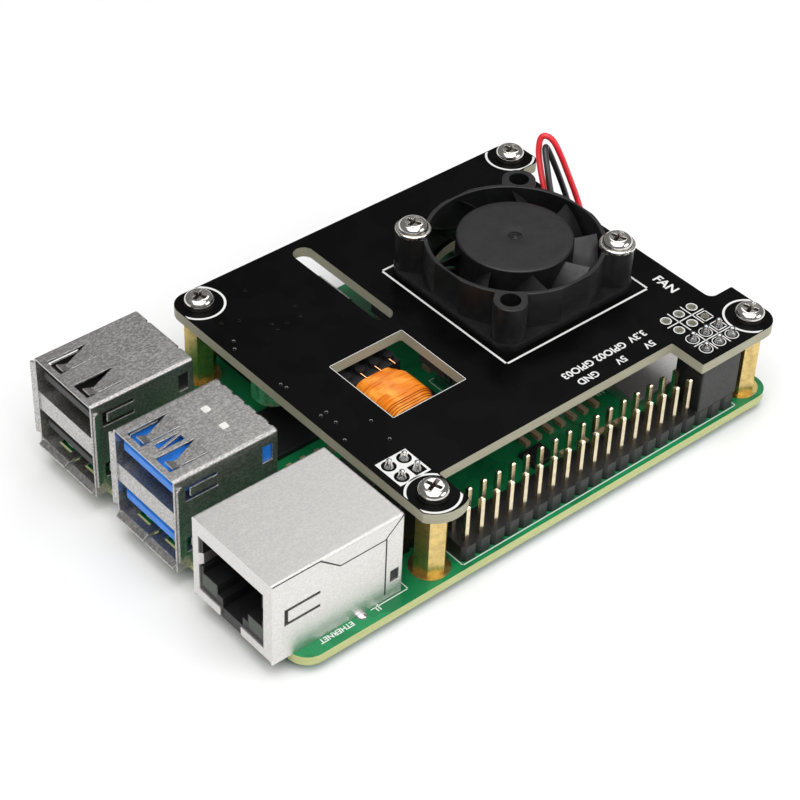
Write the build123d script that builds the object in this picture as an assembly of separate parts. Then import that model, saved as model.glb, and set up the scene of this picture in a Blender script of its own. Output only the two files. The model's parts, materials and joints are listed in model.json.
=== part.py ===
from build123d import *
import math
import os

# A credit-card single board computer with a fan and power board stacked above it on four brass standoffs.
# Lengths are in millimetres. The model is laid out from one corner of the main board:
#   x runs from the memory card edge (0) to the USB and Ethernet edge (85),
#   y runs from the video and audio edge (0) to the pin header edge (56),
#   z is up from the main board's top face.
# save() moves every piece to the part's own frame, whose origin is the centre of the four mounting
# holes at the main board's underside.

# ---------------------------------------------------------------- driving dimensions
BOARD_L = 85.0
BOARD_W = 56.0
BOARD_T = 1.4
BOARD_R = 3.0
HOLE_INSET = 3.5
HOLE_DX = 58.0
HOLE_DY = 49.0
HOLE_R = 1.35
TAIL = 1.5              # how far soldered tails and the card slot stand below the board

STANDOFF_H = 11.0
STANDOFF_AF = 4.0
STANDOFF_TURN = -17.0
THREAD_R = 1.05
SCREW_R = 1.0
DECK_HOLE_R = 1.6        # the fan board is looser on its screws than the main board

DECK = STANDOFF_H       # the fan board's underside
DECK_T = 1.6
DECK_TOP = DECK + DECK_T

PITCH = 2.54
PIN = 0.64
PIN_TOP = 8.5
PIN_HOLE_R = 0.5
HEADER_H = 2.54
GPIO_COLUMNS = 20
GPIO_X = 8.37           # first column of pins
GPIO_Y = 51.23          # inner row of pins
POWER_X = 60.08         # first column of the small 2 x 2 header
POWER_Y = 45.18
STACK_COLUMNS = 3       # pin columns that the fan board's socket takes

USB_X0 = 71.2
USB_X1 = 87.6
USB_W = 13.0
USB_H = 15.6
USB2_Y = 9.0
USB3_Y = 27.0
SHEET = 0.3             # connector shells are this thick

LAN_X0 = 67.2
LAN_X1 = 88.1
LAN_Y0 = 37.75
LAN_Y1 = 53.75
LAN_H = 13.5

FAN_X = 23.6
FAN_Y = 25.8
FAN_SIZE = 25.0
FAN_H = 7.0
FAN_PITCH = 20.0
FAN_TOP = DECK_TOP + FAN_H
FAN_BORE_R = 12.1
FAN_RING_R = 12.75
FAN_LUG_R = 2.4
FAN_HOLE_R = 1.45
HUB_R = 8.25
BLADE_R = 11.7
BLADES = 9
BLADE_TURN = 12.8
MOTOR_Z = DECK_TOP + 0.45   # underside of the motor plate
MOTOR_T = 0.9
ROTOR_LOW = MOTOR_Z + MOTOR_T + 0.35
HUB_TOP = FAN_TOP + 0.35
SHAFT_R = 0.75
BEARING_GAP = 0.03
BEARING_R = 1.6
BOSS_R = 2.2

WIRE_D = 0.9


# ---------------------------------------------------------------- helpers
def block(x0, x1, y0, y1, z0, z1):
    """A box between two opposite corners, given in either order."""
    size = Box(abs(x1 - x0), abs(y1 - y0), abs(z1 - z0))
    return Pos((x0 + x1) / 2, (y0 + y1) / 2, (z0 + z1) / 2) * size


def rod(x, y, radius, z0, z1):
    """An upright round bar."""
    return Pos(x, y, (z0 + z1) / 2) * Cylinder(radius, z1 - z0)


def tube(x, y, outer, inner, z0, z1):
    return rod(x, y, outer, z0, z1) - rod(x, y, inner, z0, z1)


def rod_y(x, z, radius, y0, y1):
    """A round bar along y."""
    return Pos(x, (y0 + y1) / 2, z) * Rot(90, 0, 0) * Cylinder(radius, y1 - y0)


def rounded(x0, x1, y0, y1, z0, z1, r, axis=Axis.Z):
    """A box whose edges along one axis are rounded."""
    body = block(x0, x1, y0, y1, z0, z1)
    return fillet(body.edges().filter_by(axis), r)


def eased(x0, x1, y0, y1, z0, z1, r, top=0.15):
    """A box with rounded upright edges and slightly broken top edges."""
    body = rounded(x0, x1, y0, y1, z0, z1, r)
    return chamfer(body.faces().sort_by(Axis.Z)[-1].edges(), top)


def grid(x0, y0, columns, rows, pitch=PITCH):
    return [(x0 + i * pitch, y0 + j * pitch) for i in range(columns) for j in range(rows)]


def corners():
    """Centres of the four mounting holes."""
    near = HOLE_INSET
    return [(x, y) for x in (near, near + HOLE_DX) for y in (near, near + HOLE_DY)]


def fan_corners():
    half = FAN_PITCH / 2
    return [(FAN_X + i * half, FAN_Y + j * half) for i in (-1, 1) for j in (-1, 1)]


def fan_screw_places():
    """The fan is held by two screws at opposite corners."""
    half = FAN_PITCH / 2
    return [(FAN_X + half, FAN_Y - half), (FAN_X - half, FAN_Y + half)]


def together(pieces):
    """Separate solids kept in one node."""
    solids = []
    for piece in pieces:
        solids.extend(piece.solids())
    return Compound(solids)


def save(name, shape):
    shift = Pos(-HOLE_INSET - HOLE_DX / 2, -HOLE_INSET - HOLE_DY / 2, BOARD_T)
    export_step(shift * shape, "parts/" + name + ".step")


# ---------------------------------------------------------------- where the pins and tails go
GPIO_PINS = grid(GPIO_X, GPIO_Y, GPIO_COLUMNS, 2)
POWER_PINS = grid(POWER_X, POWER_Y, 2, 2)
STACK_PINS = grid(GPIO_X, GPIO_Y, STACK_COLUMNS, 2)
SPARE_HOLES = grid(GPIO_X, GPIO_Y - 2 * PITCH, STACK_COLUMNS, 2)

USB_TAIL_X = 73.4
USB_TAIL_PITCH = 2.2
USB2_TAILS = [(USB_TAIL_X + row * USB_TAIL_PITCH, USB2_Y + (i - 1.5) * 2.4)
              for row in (0, 1) for i in range(4)]
USB3_TAILS = [(USB_TAIL_X + row * 1.9, USB3_Y + (i - 2) * 2.0) for row in (0, 1, 2) for i in range(5)]
USB_TABS_X = (74.2, 81.2)
LAN_TAILS = [(LAN_X0 + 4.2 + (i % 2) * 2.54, LAN_Y0 + 3.55 + i * 1.27) for i in range(8)]
LAN_TABS = [(LAN_X0 + 6.9, LAN_Y0 + 0.15), (LAN_X0 + 6.9, LAN_Y1 - 0.15)]
TAB_HOLE_R = 0.85


def usb_tabs(yc):
    return [(x, yc + side * (USB_W / 2 - SHEET / 2)) for x in USB_TABS_X for side in (-1, 1)]


# ---------------------------------------------------------------- main board and its headers
def main_board():
    plate = Pos(BOARD_L / 2, BOARD_W / 2) * RectangleRounded(BOARD_L, BOARD_W, BOARD_R)
    holes = [Pos(x, y) * Circle(HOLE_R) for x, y in corners()]
    holes += [Pos(x, y) * Circle(PIN_HOLE_R) for x, y in GPIO_PINS + POWER_PINS]
    holes += [Pos(x, y) * Circle(PIN_HOLE_R) for x, y in USB2_TAILS + USB3_TAILS + LAN_TAILS]
    holes += [Pos(x, y) * Circle(TAB_HOLE_R) for x, y in usb_tabs(USB2_Y) + usb_tabs(USB3_Y) + LAN_TABS]
    return extrude(plate - holes, -BOARD_T)


def header_base(pins):
    """Pin header plastic: a row of eight-sided cells, each holding two pins."""
    xs = sorted({x for x, y in pins})
    y0 = min(y for x, y in pins) - PITCH / 2
    cut = 0.5
    cells = []
    for x in xs:
        cell = block(x - PITCH / 2, x + PITCH / 2, y0, y0 + 2 * PITCH, 0, HEADER_H)
        cells.append(chamfer(cell.edges().filter_by(Axis.Z), cut))
    body = cells[0] + cells[1:]
    return body - [Pos(x, y, HEADER_H / 2) * Box(PIN, PIN, HEADER_H) for x, y in pins]


def header_pin(x, y):
    bottom = -BOARD_T - TAIL
    pin = block(x - PIN / 2, x + PIN / 2, y - PIN / 2, y + PIN / 2, bottom, PIN_TOP)
    tips = pin.faces().filter_by(Axis.Z).edges()
    return chamfer(tips, 0.17)


SOCKET_Z0 = HEADER_H + 0.06
CONTACT_OUT = 1.24
CONTACT_IN = 0.72
CONTACT_Z0 = SOCKET_Z0 + 1.0
CONTACT_Z1 = PIN_TOP + 1.0
CONTACT_TAIL = DECK_TOP + 1.0


def socket(pins):
    """A female header under the fan board, with one well for each pin."""
    xs = [x for x, y in pins]
    ys = [y for x, y in pins]
    half = PITCH / 2 - 0.02
    body = eased(min(xs) - half, max(xs) + half, min(ys) - half, max(ys) + half, SOCKET_Z0, DECK, 0.25)
    wells = [Pos(x, y, (SOCKET_Z0 + CONTACT_Z1) / 2) * Box(CONTACT_OUT, CONTACT_OUT, CONTACT_Z1 - SOCKET_Z0)
             for x, y in pins]
    slots = [Pos(x, y, (CONTACT_Z1 + DECK) / 2) * Box(PIN, PIN, DECK - CONTACT_Z1) for x, y in pins]
    return body - wells - slots


def socket_contact(x, y):
    """A folded sleeve round the pin, with a tail up through the fan board."""
    height = CONTACT_Z1 - CONTACT_Z0
    sleeve = Pos(x, y, CONTACT_Z0 + height / 2) * Box(CONTACT_OUT, CONTACT_OUT, height)
    well = Pos(x, y, CONTACT_Z0 + height / 2 - 0.3) * Box(CONTACT_IN, CONTACT_IN, height)
    tail = block(x - PIN / 2, x + PIN / 2, y - PIN / 2, y + PIN / 2, CONTACT_Z1 - 0.3, CONTACT_TAIL)
    top = chamfer(tail.faces().sort_by(Axis.Z)[-1].edges(), 0.15)
    return (sleeve - well) + top


# ---------------------------------------------------------------- USB connectors
USB_INSIDE = USB_W / 2 - SHEET           # half the width inside the shell
USB_PORTS = ((1.5, 6.8), (9.8, USB_H - SHEET))     # lower and upper edge of each port
TONGUE_Z = (2.4, 4.1)        # underside and top of a tongue, above its port's lower edge
TONGUE_FRONT = 86.9
USB_REAR = 75.6              # front of the plastic behind the ports
SPRING_Y = 3.05              # the springs stand this far each side of a port's middle
SPRING_X = (80.8, 85.9)      # root and tip of the springs in the top
SIDE_LIPS = ((-1, 1.2), (1, 0.5))        # side, and how far its lip flares


def usb_spring(yc):
    """A tapered contact spring cut from the shell's top and bent down into the port."""
    root, tip = SPRING_X
    top = USB_H
    low = top - SHEET
    knee = tip - 1.3
    drop = 0.95
    side = [(root, top), (root, low), (knee, low - drop), (tip, low - drop + 0.55),
            (tip, low - drop + 0.55 + SHEET), (knee, top - drop)]
    strip = Pos(0, yc + 1.5, 0) * Rot(90, 0, 0) * extrude(make_face(Polyline(*side, close=True)), 3.0)
    # half of the plan: wide at the root, narrow before the knee, then the contact pad
    half = [(root - 0.1, 1.5), (knee - 0.2, 0.6), (knee - 0.2, 0.8), (tip + 0.1, 0.8)]
    lower = [(x, yc - y) for x, y in half]
    upper = [(x, yc + y) for x, y in reversed(half)]
    plan = Polyline(*lower, *upper, close=True)
    return strip & Pos(0, 0, 10) * extrude(make_face(plan), 8)


def usb_side_lip(yc, side, reach):
    """A tall lip that flares outwards beside both ports."""
    wall = yc + side * USB_W / 2
    inner = wall - side * SHEET
    outline = Polyline((USB_X1 - 1.2, wall), (USB_X1 - 0.25, wall + side * reach),
                       (USB_X1, wall + side * (reach - 0.1)), (USB_X1 - 0.7, inner), (USB_X1 - 1.2, inner),
                       close=True)
    return Pos(0, 0, 2.0) * extrude(make_face(outline), 12.2, dir=(0, 0, 1))


def usb_bottom_lip(yc, side):
    """Half of the lip under the lower port, flared down and outwards."""
    z = USB_PORTS[0][0]
    profile = Polyline((80.0, z - SHEET), (80.0, z), (USB_X1 - 0.3, z), (88.1, z - 0.55), (88.1, z - 0.85),
                       (USB_X1 - 0.4, z - SHEET), close=True)
    near, far = yc + side * 0.25, yc + side * (USB_INSIDE + 0.05)
    sheet = Pos(0, max(near, far), 0) * Rot(90, 0, 0) * extrude(make_face(profile), abs(far - near))
    window = block(81.4, 86.2, yc + side * 1.6, yc + side * 4.5, z - 1, z + 1)
    tongue = block(81.2, 85.2, yc + side * 2.5, yc + side * 3.6, z - SHEET, z)
    return (sheet - window) + tongue


def usb_shell(yc, centre_cut):
    """The steel shell of a two-port stack, with its springs, flared lips, middle bar and tabs."""
    y0 = yc - USB_W / 2
    y1 = yc + USB_W / 2
    body = block(USB_X0, USB_X1, y0, y1, 0, USB_H)
    body = fillet(body.edges().filter_by(Axis.X).group_by(Axis.Z)[-1], 0.45)
    body = fillet(body.edges().filter_by(Axis.Y).group_by(Axis.Z)[-1].sort_by(Axis.X)[0], 0.35)
    body -= block(USB_X0 + SHEET, USB_X1 + 1, y0 + SHEET, y1 - SHEET, -1, USB_H - SHEET)
    for side in (-1, 1):
        ys = yc + side * SPRING_Y
        body -= block(SPRING_X[0], 86.8, ys - 1.6, ys + 1.6, USB_H - 2 * SHEET, USB_H + 1)
        body += usb_spring(ys)
    if centre_cut:
        body -= block(81.6, 85.4, yc - 0.7, yc + 0.7, USB_H - 2 * SHEET, USB_H + 1)
        strut = Pos(83.5, yc, USB_H - SHEET / 2) * Rot(0, 0, 14) * Box(4.0, 0.4, SHEET)
        body += strut & block(81.4, 85.6, yc - 0.9, yc + 0.9, USB_H - SHEET, USB_H)
    # the bar between the ports is a channel of folded sheet
    low, high = USB_PORTS[0][1], USB_PORTS[1][0]
    body += block(USB_X1 - 0.5, USB_X1 - 0.2, y0 + SHEET, y1 - SHEET, low, high)
    body += block(USB_REAR, USB_X1 - 0.2, y0 + SHEET, y1 - SHEET, high - SHEET, high)
    body += block(USB_REAR, USB_X1 - 0.2, y0 + SHEET, y1 - SHEET, low, low + SHEET)
    # side springs, one low and one high in each wall, and a window at the rear
    for side in (-1, 1):
        wall = yc + side * (USB_W / 2)
        body -= block(72.2, 73.8, wall - 0.5, wall + 0.5, 11.0, 13.8)
        for z in (3.9, 12.6):
            body -= block(80.9, 85.9, wall - 0.5, wall + 0.5, z - 1.2, z + 1.2)
            body += block(80.7, 85.1, wall - side * SHEET, wall, z - 0.7, z + 0.7)
    # scalloped rear edge
    for offset in (-5.0, -2.5, 0, 2.5, 5.0) if centre_cut else (-3.5, 3.5):
        body -= Pos(USB_X0, yc + offset, USB_H) * Cylinder(0.45, 1.2)
    for side, reach in SIDE_LIPS:
        body += usb_side_lip(yc, side, reach)
        body += usb_bottom_lip(yc, side)
    for x, y in usb_tabs(yc):
        body += block(x - 0.65, x + 0.65, y - SHEET / 2, y + SHEET / 2, -BOARD_T - TAIL + 0.2, 0.4)
    return body


def usb_housing(yc):
    """The plastic core: a block behind the ports, a wall inside the middle bar and a tongue in each port."""
    y0 = yc - USB_INSIDE
    y1 = yc + USB_INSIDE
    body = block(USB_X0 + SHEET, USB_REAR, y0, y1, 0, USB_H - SHEET)
    body += block(USB_REAR, USB_X1 - 0.5, y0, y1, USB_PORTS[0][1] + SHEET, USB_PORTS[1][0] - SHEET)
    body += block(USB_REAR, 80.0, y0, y1, 0, USB_PORTS[0][0])
    for z0, z1 in USB_PORTS:
        tongue = block(USB_REAR - 1, TONGUE_FRONT, yc - 5.55, yc + 5.55, z0 + TONGUE_Z[0], z0 + TONGUE_Z[1])
        body += chamfer(tongue.faces().sort_by(Axis.X)[-1].edges(), 0.3)
    return body


def usb_contacts(yc, tails, lanes):
    """Gold strips under each tongue, and square tails through the board."""
    pieces = []
    for z0, z1 in USB_PORTS:
        under = z0 + TONGUE_Z[0]
        for i in range(lanes):
            y = yc + (i - (lanes - 1) / 2) * (9.0 / lanes)
            pieces.append(block(USB_REAR, TONGUE_FRONT - 0.4, y - 0.45, y + 0.45, under - 0.16, under))
    for x, y in tails:
        pieces.append(block(x - 0.25, x + 0.25, y - 0.25, y + 0.25, -BOARD_T - TAIL + 0.3, 0))
    return together(pieces)


# ---------------------------------------------------------------- Ethernet connector
LAN_OPEN_Y = (38.9, 52.0)
LAN_OPEN_Z = (1.7, 10.9)
LAN_MID = (LAN_OPEN_Y[0] + LAN_OPEN_Y[1]) / 2
LAN_CAVITY_X = 75.0
PLUG_W = 11.9
LATCH_W = 6.2
LAMP_W = 3.0
LAMP_Z = (2.5, 4.5)


def lan_seam():
    """The folded sheet's seam on the header side, as a thin groove in the wall."""
    path = [(80.7, LAN_H), (77.5, 10.7), (70.3, 10.7), (LAN_X0, LAN_H)]
    groove = 0.14
    pieces = []
    for (xa, za), (xb, zb) in zip(path, path[1:]):
        length = math.hypot(xb - xa, zb - za)
        angle = math.degrees(math.atan2(zb - za, xb - xa))
        bar = Box(length + groove, 0.24, groove)
        pieces.append(Pos((xa + xb) / 2, LAN_Y1, (za + zb) / 2) * Rot(0, -angle, 0) * bar)
    pieces.append(block(70.03, 70.17, LAN_Y1 - 0.12, LAN_Y1 + 0.2, 1.0, 10.7))
    return pieces


def lan_grip(wall):
    """A spring folded in from the front frame, which grips the plug's shield."""
    way = 1 if wall == LAN_Y0 else -1
    edge = LAN_OPEN_Y[0] if way > 0 else LAN_OPEN_Y[1]
    outline = Polyline((LAN_X1, edge - way * 0.4), (LAN_X1, edge), (LAN_X1 - 0.6, edge + way * 0.35),
                       (84.2, edge + way * 0.1), (84.2, edge - way * 0.1), (LAN_X1 - 0.7, edge + way * 0.1),
                       (LAN_X1 - SHEET, edge - way * 0.2), (LAN_X1 - SHEET, edge - way * 0.4), close=True)
    return Pos(0, 0, 6.0) * extrude(make_face(outline), 1.9, dir=(0, 0, 1))


def ethernet_shell():
    body = block(LAN_X0, LAN_X1, LAN_Y0, LAN_Y1, 0, LAN_H)
    body = fillet(body.edges().filter_by(Axis.X).group_by(Axis.Z)[-1], 0.4)
    body = fillet(body.edges().filter_by(Axis.Y).group_by(Axis.Z)[-1].sort_by(Axis.X)[0], 0.3)
    inner = block(LAN_X0 + SHEET, LAN_X1 - SHEET, LAN_Y0 + SHEET, LAN_Y1 - SHEET, -1, LAN_H - SHEET)
    body -= inner
    body -= block(LAN_X1 - 1, LAN_X1 + 1, LAN_OPEN_Y[0], LAN_OPEN_Y[1], LAN_OPEN_Z[0], LAN_OPEN_Z[1])
    body -= block(LAN_X1 - 1, LAN_X1 + 1, 43.2, 47.4, -1, LAN_OPEN_Z[0] + 0.1)
    body -= block(LAN_X1 - 1, LAN_X1 + 1, LAN_Y0 + SHEET, LAN_Y1 - SHEET, -1, 0.35)
    body -= lan_seam()
    for y in (LAN_Y0, LAN_Y1):
        body -= block(67.9, 69.3, y - 0.5, y + 0.5, 2.65, 4.67)
        body -= block(80.6, 86.2, y - 0.5, y + 0.5, 5.6, 8.4)
        inside = SHEET if y == LAN_Y0 else -SHEET
        body += block(80.4, 85.6, y, y + inside, 6.1, 7.9)
        body += lan_grip(y)
    for x, y in LAN_TABS:
        body += block(x - 0.7, x + 0.7, y - SHEET / 2, y + SHEET / 2, -BOARD_T - TAIL + 0.2, 0.3)
    return body


def ethernet_housing():
    """The black insert: plug cavity, latch channel with a stepped floor, and lamp pockets."""
    front = LAN_X1 - SHEET
    body = block(LAN_X0 + SHEET, front, LAN_Y0 + SHEET, LAN_Y1 - SHEET, 0, LAN_H - SHEET)
    body -= block(LAN_CAVITY_X, front + 1, LAN_MID - PLUG_W / 2, LAN_MID + PLUG_W / 2, 4.75, 10.9)
    body -= block(LAN_CAVITY_X + 3, front + 1, LAN_MID - LATCH_W / 2, LAN_MID + LATCH_W / 2, 3.3, 4.8)
    body -= block(LAN_CAVITY_X + 5, front + 1, LAN_MID - 2.0, LAN_MID + 2.0, 1.8, 3.4)
    for y in lamp_centres():
        body -= block(front - 1.2, front + 1, y - LAMP_W / 2, y + LAMP_W / 2, LAMP_Z[0], LAMP_Z[1])
    # room for the shell's grip springs
    for way, edge in zip((1, -1), LAN_OPEN_Y):
        body -= block(84.0, front + 1, edge - way * 0.3, edge + way * 1.0, 5.8, 8.1)
    return body


def lamp_centres():
    return (LAN_OPEN_Y[0] + 0.25 + LAMP_W / 2, LAN_OPEN_Y[1] - 0.25 - LAMP_W / 2)


def ethernet_contacts():
    """Eight spring wires that slope down from the roof of the cavity, and the tails."""
    pieces = []
    for i in range(8):
        y = LAN_MID + (i - 3.5) * 1.02
        side = Polyline((LAN_CAVITY_X, 10.9), (LAN_CAVITY_X, 10.7), (LAN_CAVITY_X + 0.6, 8.2),
                        (LAN_CAVITY_X + 0.9, 8.2), (LAN_CAVITY_X + 7.5, 10.7), (LAN_CAVITY_X + 7.5, 10.9),
                        close=True)
        web = Pos(0, y + 0.16, 0) * Rot(90, 0, 0) * extrude(make_face(side), 0.32)
        corners_xz = ((0.6, 10.55), (1.0, 8.75), (5.9, 10.55))
        hollow = Polyline(*[(LAN_CAVITY_X + x, z) for x, z in corners_xz], close=True)
        web -= Pos(0, y + 0.5, 0) * Rot(90, 0, 0) * extrude(make_face(hollow), 1.0)
        pieces.append(web)
    for x, y in LAN_TAILS:
        pieces.append(block(x - 0.25, x + 0.25, y - 0.25, y + 0.25, -BOARD_T - TAIL + 0.3, 0))
    return together(pieces)


def ethernet_light_pipes():
    front = LAN_X1 - SHEET
    return together([block(front - 1.2, front, y - LAMP_W / 2, y + LAMP_W / 2, LAMP_Z[0], LAMP_Z[1])
                     for y in lamp_centres()])


# ---------------------------------------------------------------- small ports on the y = 0 edge
USBC_X = 11.2
HDMI_X = (26.0, 39.5)
AUDIO_X = 54.0
AUDIO_R = 1.8
AUDIO_Z = 3.0


def port_shell(xc, width, height, y0, y1, r):
    """A drawn steel sleeve, open at its front and closed at its rear."""
    body = rounded(xc - width / 2, xc + width / 2, y0, y1, 0, height, r, Axis.Y)
    inside = rounded(xc - width / 2 + SHEET, xc + width / 2 - SHEET, y0 - 1, y1 - SHEET,
                     SHEET, height - SHEET, r - SHEET, Axis.Y)
    return body - inside


def usb_c_shell():
    return port_shell(USBC_X, 8.94, 3.2, -1.3, 6.0, 1.4)


def usb_c_tongue():
    back = block(USBC_X - 3.3, USBC_X + 3.3, 4.2, 5.7, 0.5, 2.7)
    tongue = block(USBC_X - 3.1, USBC_X + 3.1, -0.6, 4.2, 1.25, 1.95)
    return back + tongue


def micro_hdmi_shells():
    return together([port_shell(x, 6.6, 3.1, -0.9, 6.2, 0.7) for x in HDMI_X])


def micro_hdmi_tongues():
    pieces = []
    for x in HDMI_X:
        back = block(x - 2.6, x + 2.6, 4.4, 5.9, 0.5, 2.6)
        pieces.append(back + block(x - 1.9, x + 1.9, -0.3, 4.4, 1.5, 2.15))
    return together(pieces)


def audio_jack_body():
    body = eased(AUDIO_X - 3.4, AUDIO_X + 3.4, 0.3, 12.2, 0, 6.0, 0.3)
    body += rod_y(AUDIO_X, AUDIO_Z, 2.95, -2.4, 0.4)
    body -= rod_y(AUDIO_X, AUDIO_Z, AUDIO_R, -3, 11.0)
    body -= block(AUDIO_X + 2.2, AUDIO_X + 3.4, 3.0, 9.5, 1.2, 4.2)
    return body


def audio_jack_contacts():
    side = AUDIO_X + 2.2
    return together([block(side, side + 1.0, y, y + 1.3, 1.2, 3.9) for y in (3.3, 5.7, 8.1)])


# ---------------------------------------------------------------- ribbon cable connectors
RIBBON_L = 22.0
RIBBON_W = 2.8
RIBBON_H = 4.2
CAMERA_X = 45.2
CAMERA_Y = 12.6
DISPLAY_X = 3.5
DISPLAY_Y = 28.0
LATCH_GAP = 0.08


def ribbon_base(xc, yc):
    """The base holds the contacts and has a narrow slot for the ribbon."""
    half = RIBBON_L / 2
    body = block(xc - RIBBON_W / 2, xc + RIBBON_W / 2, yc - half, yc + half, 0, RIBBON_H)
    body -= block(xc - 0.9, xc + 0.9, yc - half + 2.2, yc + half - 2.2, 0.8, RIBBON_H + 1)
    for side in (-1, 1):
        end = yc + side * half
        body -= block(xc - 0.6, xc + 0.6, end - 0.5, end + 0.5, 0.8, RIBBON_H + 1)
    return body


def ribbon_latch(xc, yc):
    """The latch is a bar with a wedge in the slot and a leg down each end. It lifts to free the ribbon."""
    half = RIBBON_L / 2
    z0 = RIBBON_H + LATCH_GAP
    bar = eased(xc - 1.2, xc + 1.2, yc - half, yc + half, z0, z0 + 1.15, 0.2, 0.12)
    wedge = block(xc + 0.1, xc + 0.8, yc - half + 2.4, yc + half - 2.4, 1.9, z0 + 0.5)
    slot = block(xc - 0.55, xc + 0.1, yc - half + 2.4, yc + half - 2.4, 1.0, z0 + 2)
    latch = bar + wedge - slot
    for side in (-1, 1):
        end = yc + side * (half - 0.21)
        latch += block(xc - 0.5, xc + 0.5, end - 0.2, end + 0.2, 1.8, z0 + 0.3)
    return latch


# ---------------------------------------------------------------- chips and other board parts
def chip(xc, yc, length, width, height, z0=0.0, down=False):
    """A moulded chip, its top edges slightly broken. down hangs it under a board."""
    if down:
        body = block(xc - length / 2, xc + length / 2, yc - width / 2, yc + width / 2, z0 - height, z0)
        return chamfer(body.faces().sort_by(Axis.Z)[0].edges(), 0.12)
    body = block(xc - length / 2, xc + length / 2, yc - width / 2, yc + width / 2, z0, z0 + height)
    return chamfer(body.faces().sort_by(Axis.Z)[-1].edges(), 0.12)


CPU_X = 29.3
CPU_Y = 32.6


def processor_substrate():
    return block(CPU_X - 7.5, CPU_X + 7.5, CPU_Y - 7.5, CPU_Y + 7.5, 0, 0.9)


def processor_lid():
    lid = eased(CPU_X - 7.0, CPU_X + 7.0, CPU_Y - 7.0, CPU_Y + 7.0, 0.9, 1.6, 0.8, 0.2)
    return lid + eased(CPU_X - 6.0, CPU_X + 6.0, CPU_Y - 6.0, CPU_Y + 6.0, 1.6, 2.3, 0.8, 0.25)


def wireless_shield():
    body = rounded(7.0, 19.0, 36.6, 47.4, 0, 1.6, 0.6)
    body = fillet(body.faces().sort_by(Axis.Z)[-1].edges(), 0.25)
    return body - block(7.2, 18.8, 36.8, 47.2, -1, 1.4)


def controller_chips():
    usb_hub = chip(61.2, 20.2, 9.0, 9.0, 0.9)
    network = chip(61.2, 33.6, 7.0, 7.0, 0.9)
    power = chip(9.8, 13.2, 5.0, 5.0, 0.9)
    flash = chip(36.4, 46.0, 3.9, 3.2, 0.8)
    return together([usb_hub, network, power, flash])


def passive_places():
    """Rows of small two-terminal parts round the chips: centre, and whether each lies along x."""
    rows = []
    for i in range(7):
        rows.append((22.6 + i * 2.2, 22.6, False))
        rows.append((22.6 + i * 2.2, 42.8, False))
    for i in range(6):
        rows.append((19.9, 26.6 + i * 2.3, True))
    for i in range(5):
        rows.append((65.9 + 0.9, 17.4 + i * 1.6, True))
        rows.append((54.6 + i * 2.4, 27.4, False))
        rows.append((54.6 + i * 2.4, 39.8, False))
        rows.append((14.6 + i * 1.9, 17.6, False))
    for i in range(4):
        rows.append((20.4 + i * 2.5, 9.6, False))
        rows.append((33.6 + i * 2.3, 9.9, False))
        rows.append((22.8 + i * 3.4, 47.9, True))
    return rows


PASSIVE_L = 1.6
PASSIVE_W = 0.8
PASSIVE_H = 0.75


def small_passives():
    pieces = []
    for x, y, along in passive_places():
        half_x, half_y = (PASSIVE_L / 2, PASSIVE_W / 2) if along else (PASSIVE_W / 2, PASSIVE_L / 2)
        pieces.append(block(x - half_x, x + half_x, y - half_y, y + half_y, 0, PASSIVE_H))
    return together(pieces)


def power_inductors():
    places = ((14.4, 22.2, 3.2, 1.8), (9.6, 21.4, 3.2, 1.8), (14.9, 27.2, 3.2, 1.8), (17.4, 12.8, 4.2, 2.4))
    return together([eased(x - s / 2, x + s / 2, y - s / 2, y + s / 2, 0, h, 0.5) for x, y, s, h in places])


def crystals():
    places = ((40.6, 19.6), (66.4, 30.6), (53.6, 22.6))
    return together([eased(x - 1.25, x + 1.25, y - 1.0, y + 1.0, 0, 0.8, 0.4, 0.1) for x, y in places])


def status_leds():
    return together([block(1.0, 2.6, y - 0.4, y + 0.4, 0, 0.6) for y in (8.4, 10.8)])


SLOT_Y = 28.0


def card_slot_base():
    """The moulded base of the memory card slot, under the board at its end edge."""
    z1 = -BOARD_T
    body = block(1.2, 14.2, SLOT_Y - 5.7, SLOT_Y + 5.7, z1 - 0.45, z1)
    return body + block(12.4, 14.2, SLOT_Y - 5.7, SLOT_Y + 5.7, z1 - TAIL + 0.2, z1 - 0.4)


def card_slot_shell():
    z1 = -BOARD_T
    shell = rounded(0.6, 14.6, SLOT_Y - 6.5, SLOT_Y + 6.5, z1 - TAIL, z1, 0.5)
    shell -= block(-1, 14.4, SLOT_Y - 6.3, SLOT_Y + 6.3, z1 - TAIL + 0.2, z1 + 1)
    shell -= Pos(0.6, SLOT_Y, z1 - TAIL) * Cylinder(2.6, 1)
    shell -= block(6.0, 9.0, SLOT_Y + 3.4, SLOT_Y + 4.0, z1 - TAIL - 1, z1 - 0.9)
    shell -= block(6.0, 9.0, SLOT_Y - 4.0, SLOT_Y - 3.4, z1 - TAIL - 1, z1 - 0.9)
    return shell


# ---------------------------------------------------------------- fan board
DECK_X0 = 0.6
DECK_X1 = 64.9
DECK_Y0 = 0.4
DECK_Y1 = 56.2
RECESS_X = (16.3, 58.5)     # where the deck stops short of the pin header
RECESS_Y = 50.1
CABLE_X = 4.8               # the deck is cut back to here for the display ribbon
CABLE_Y = (7.2, 46.4)
WINDOW = (43.5, 56.0, 25.25, 38.3)
SLOT_X = 43.15
SLOT_W = 3.1
SLOT_SPAN = (2.0, 22.2)
AIR_R = 11.5
FAN_BOARD_HOLE_R = 1.4


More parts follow.
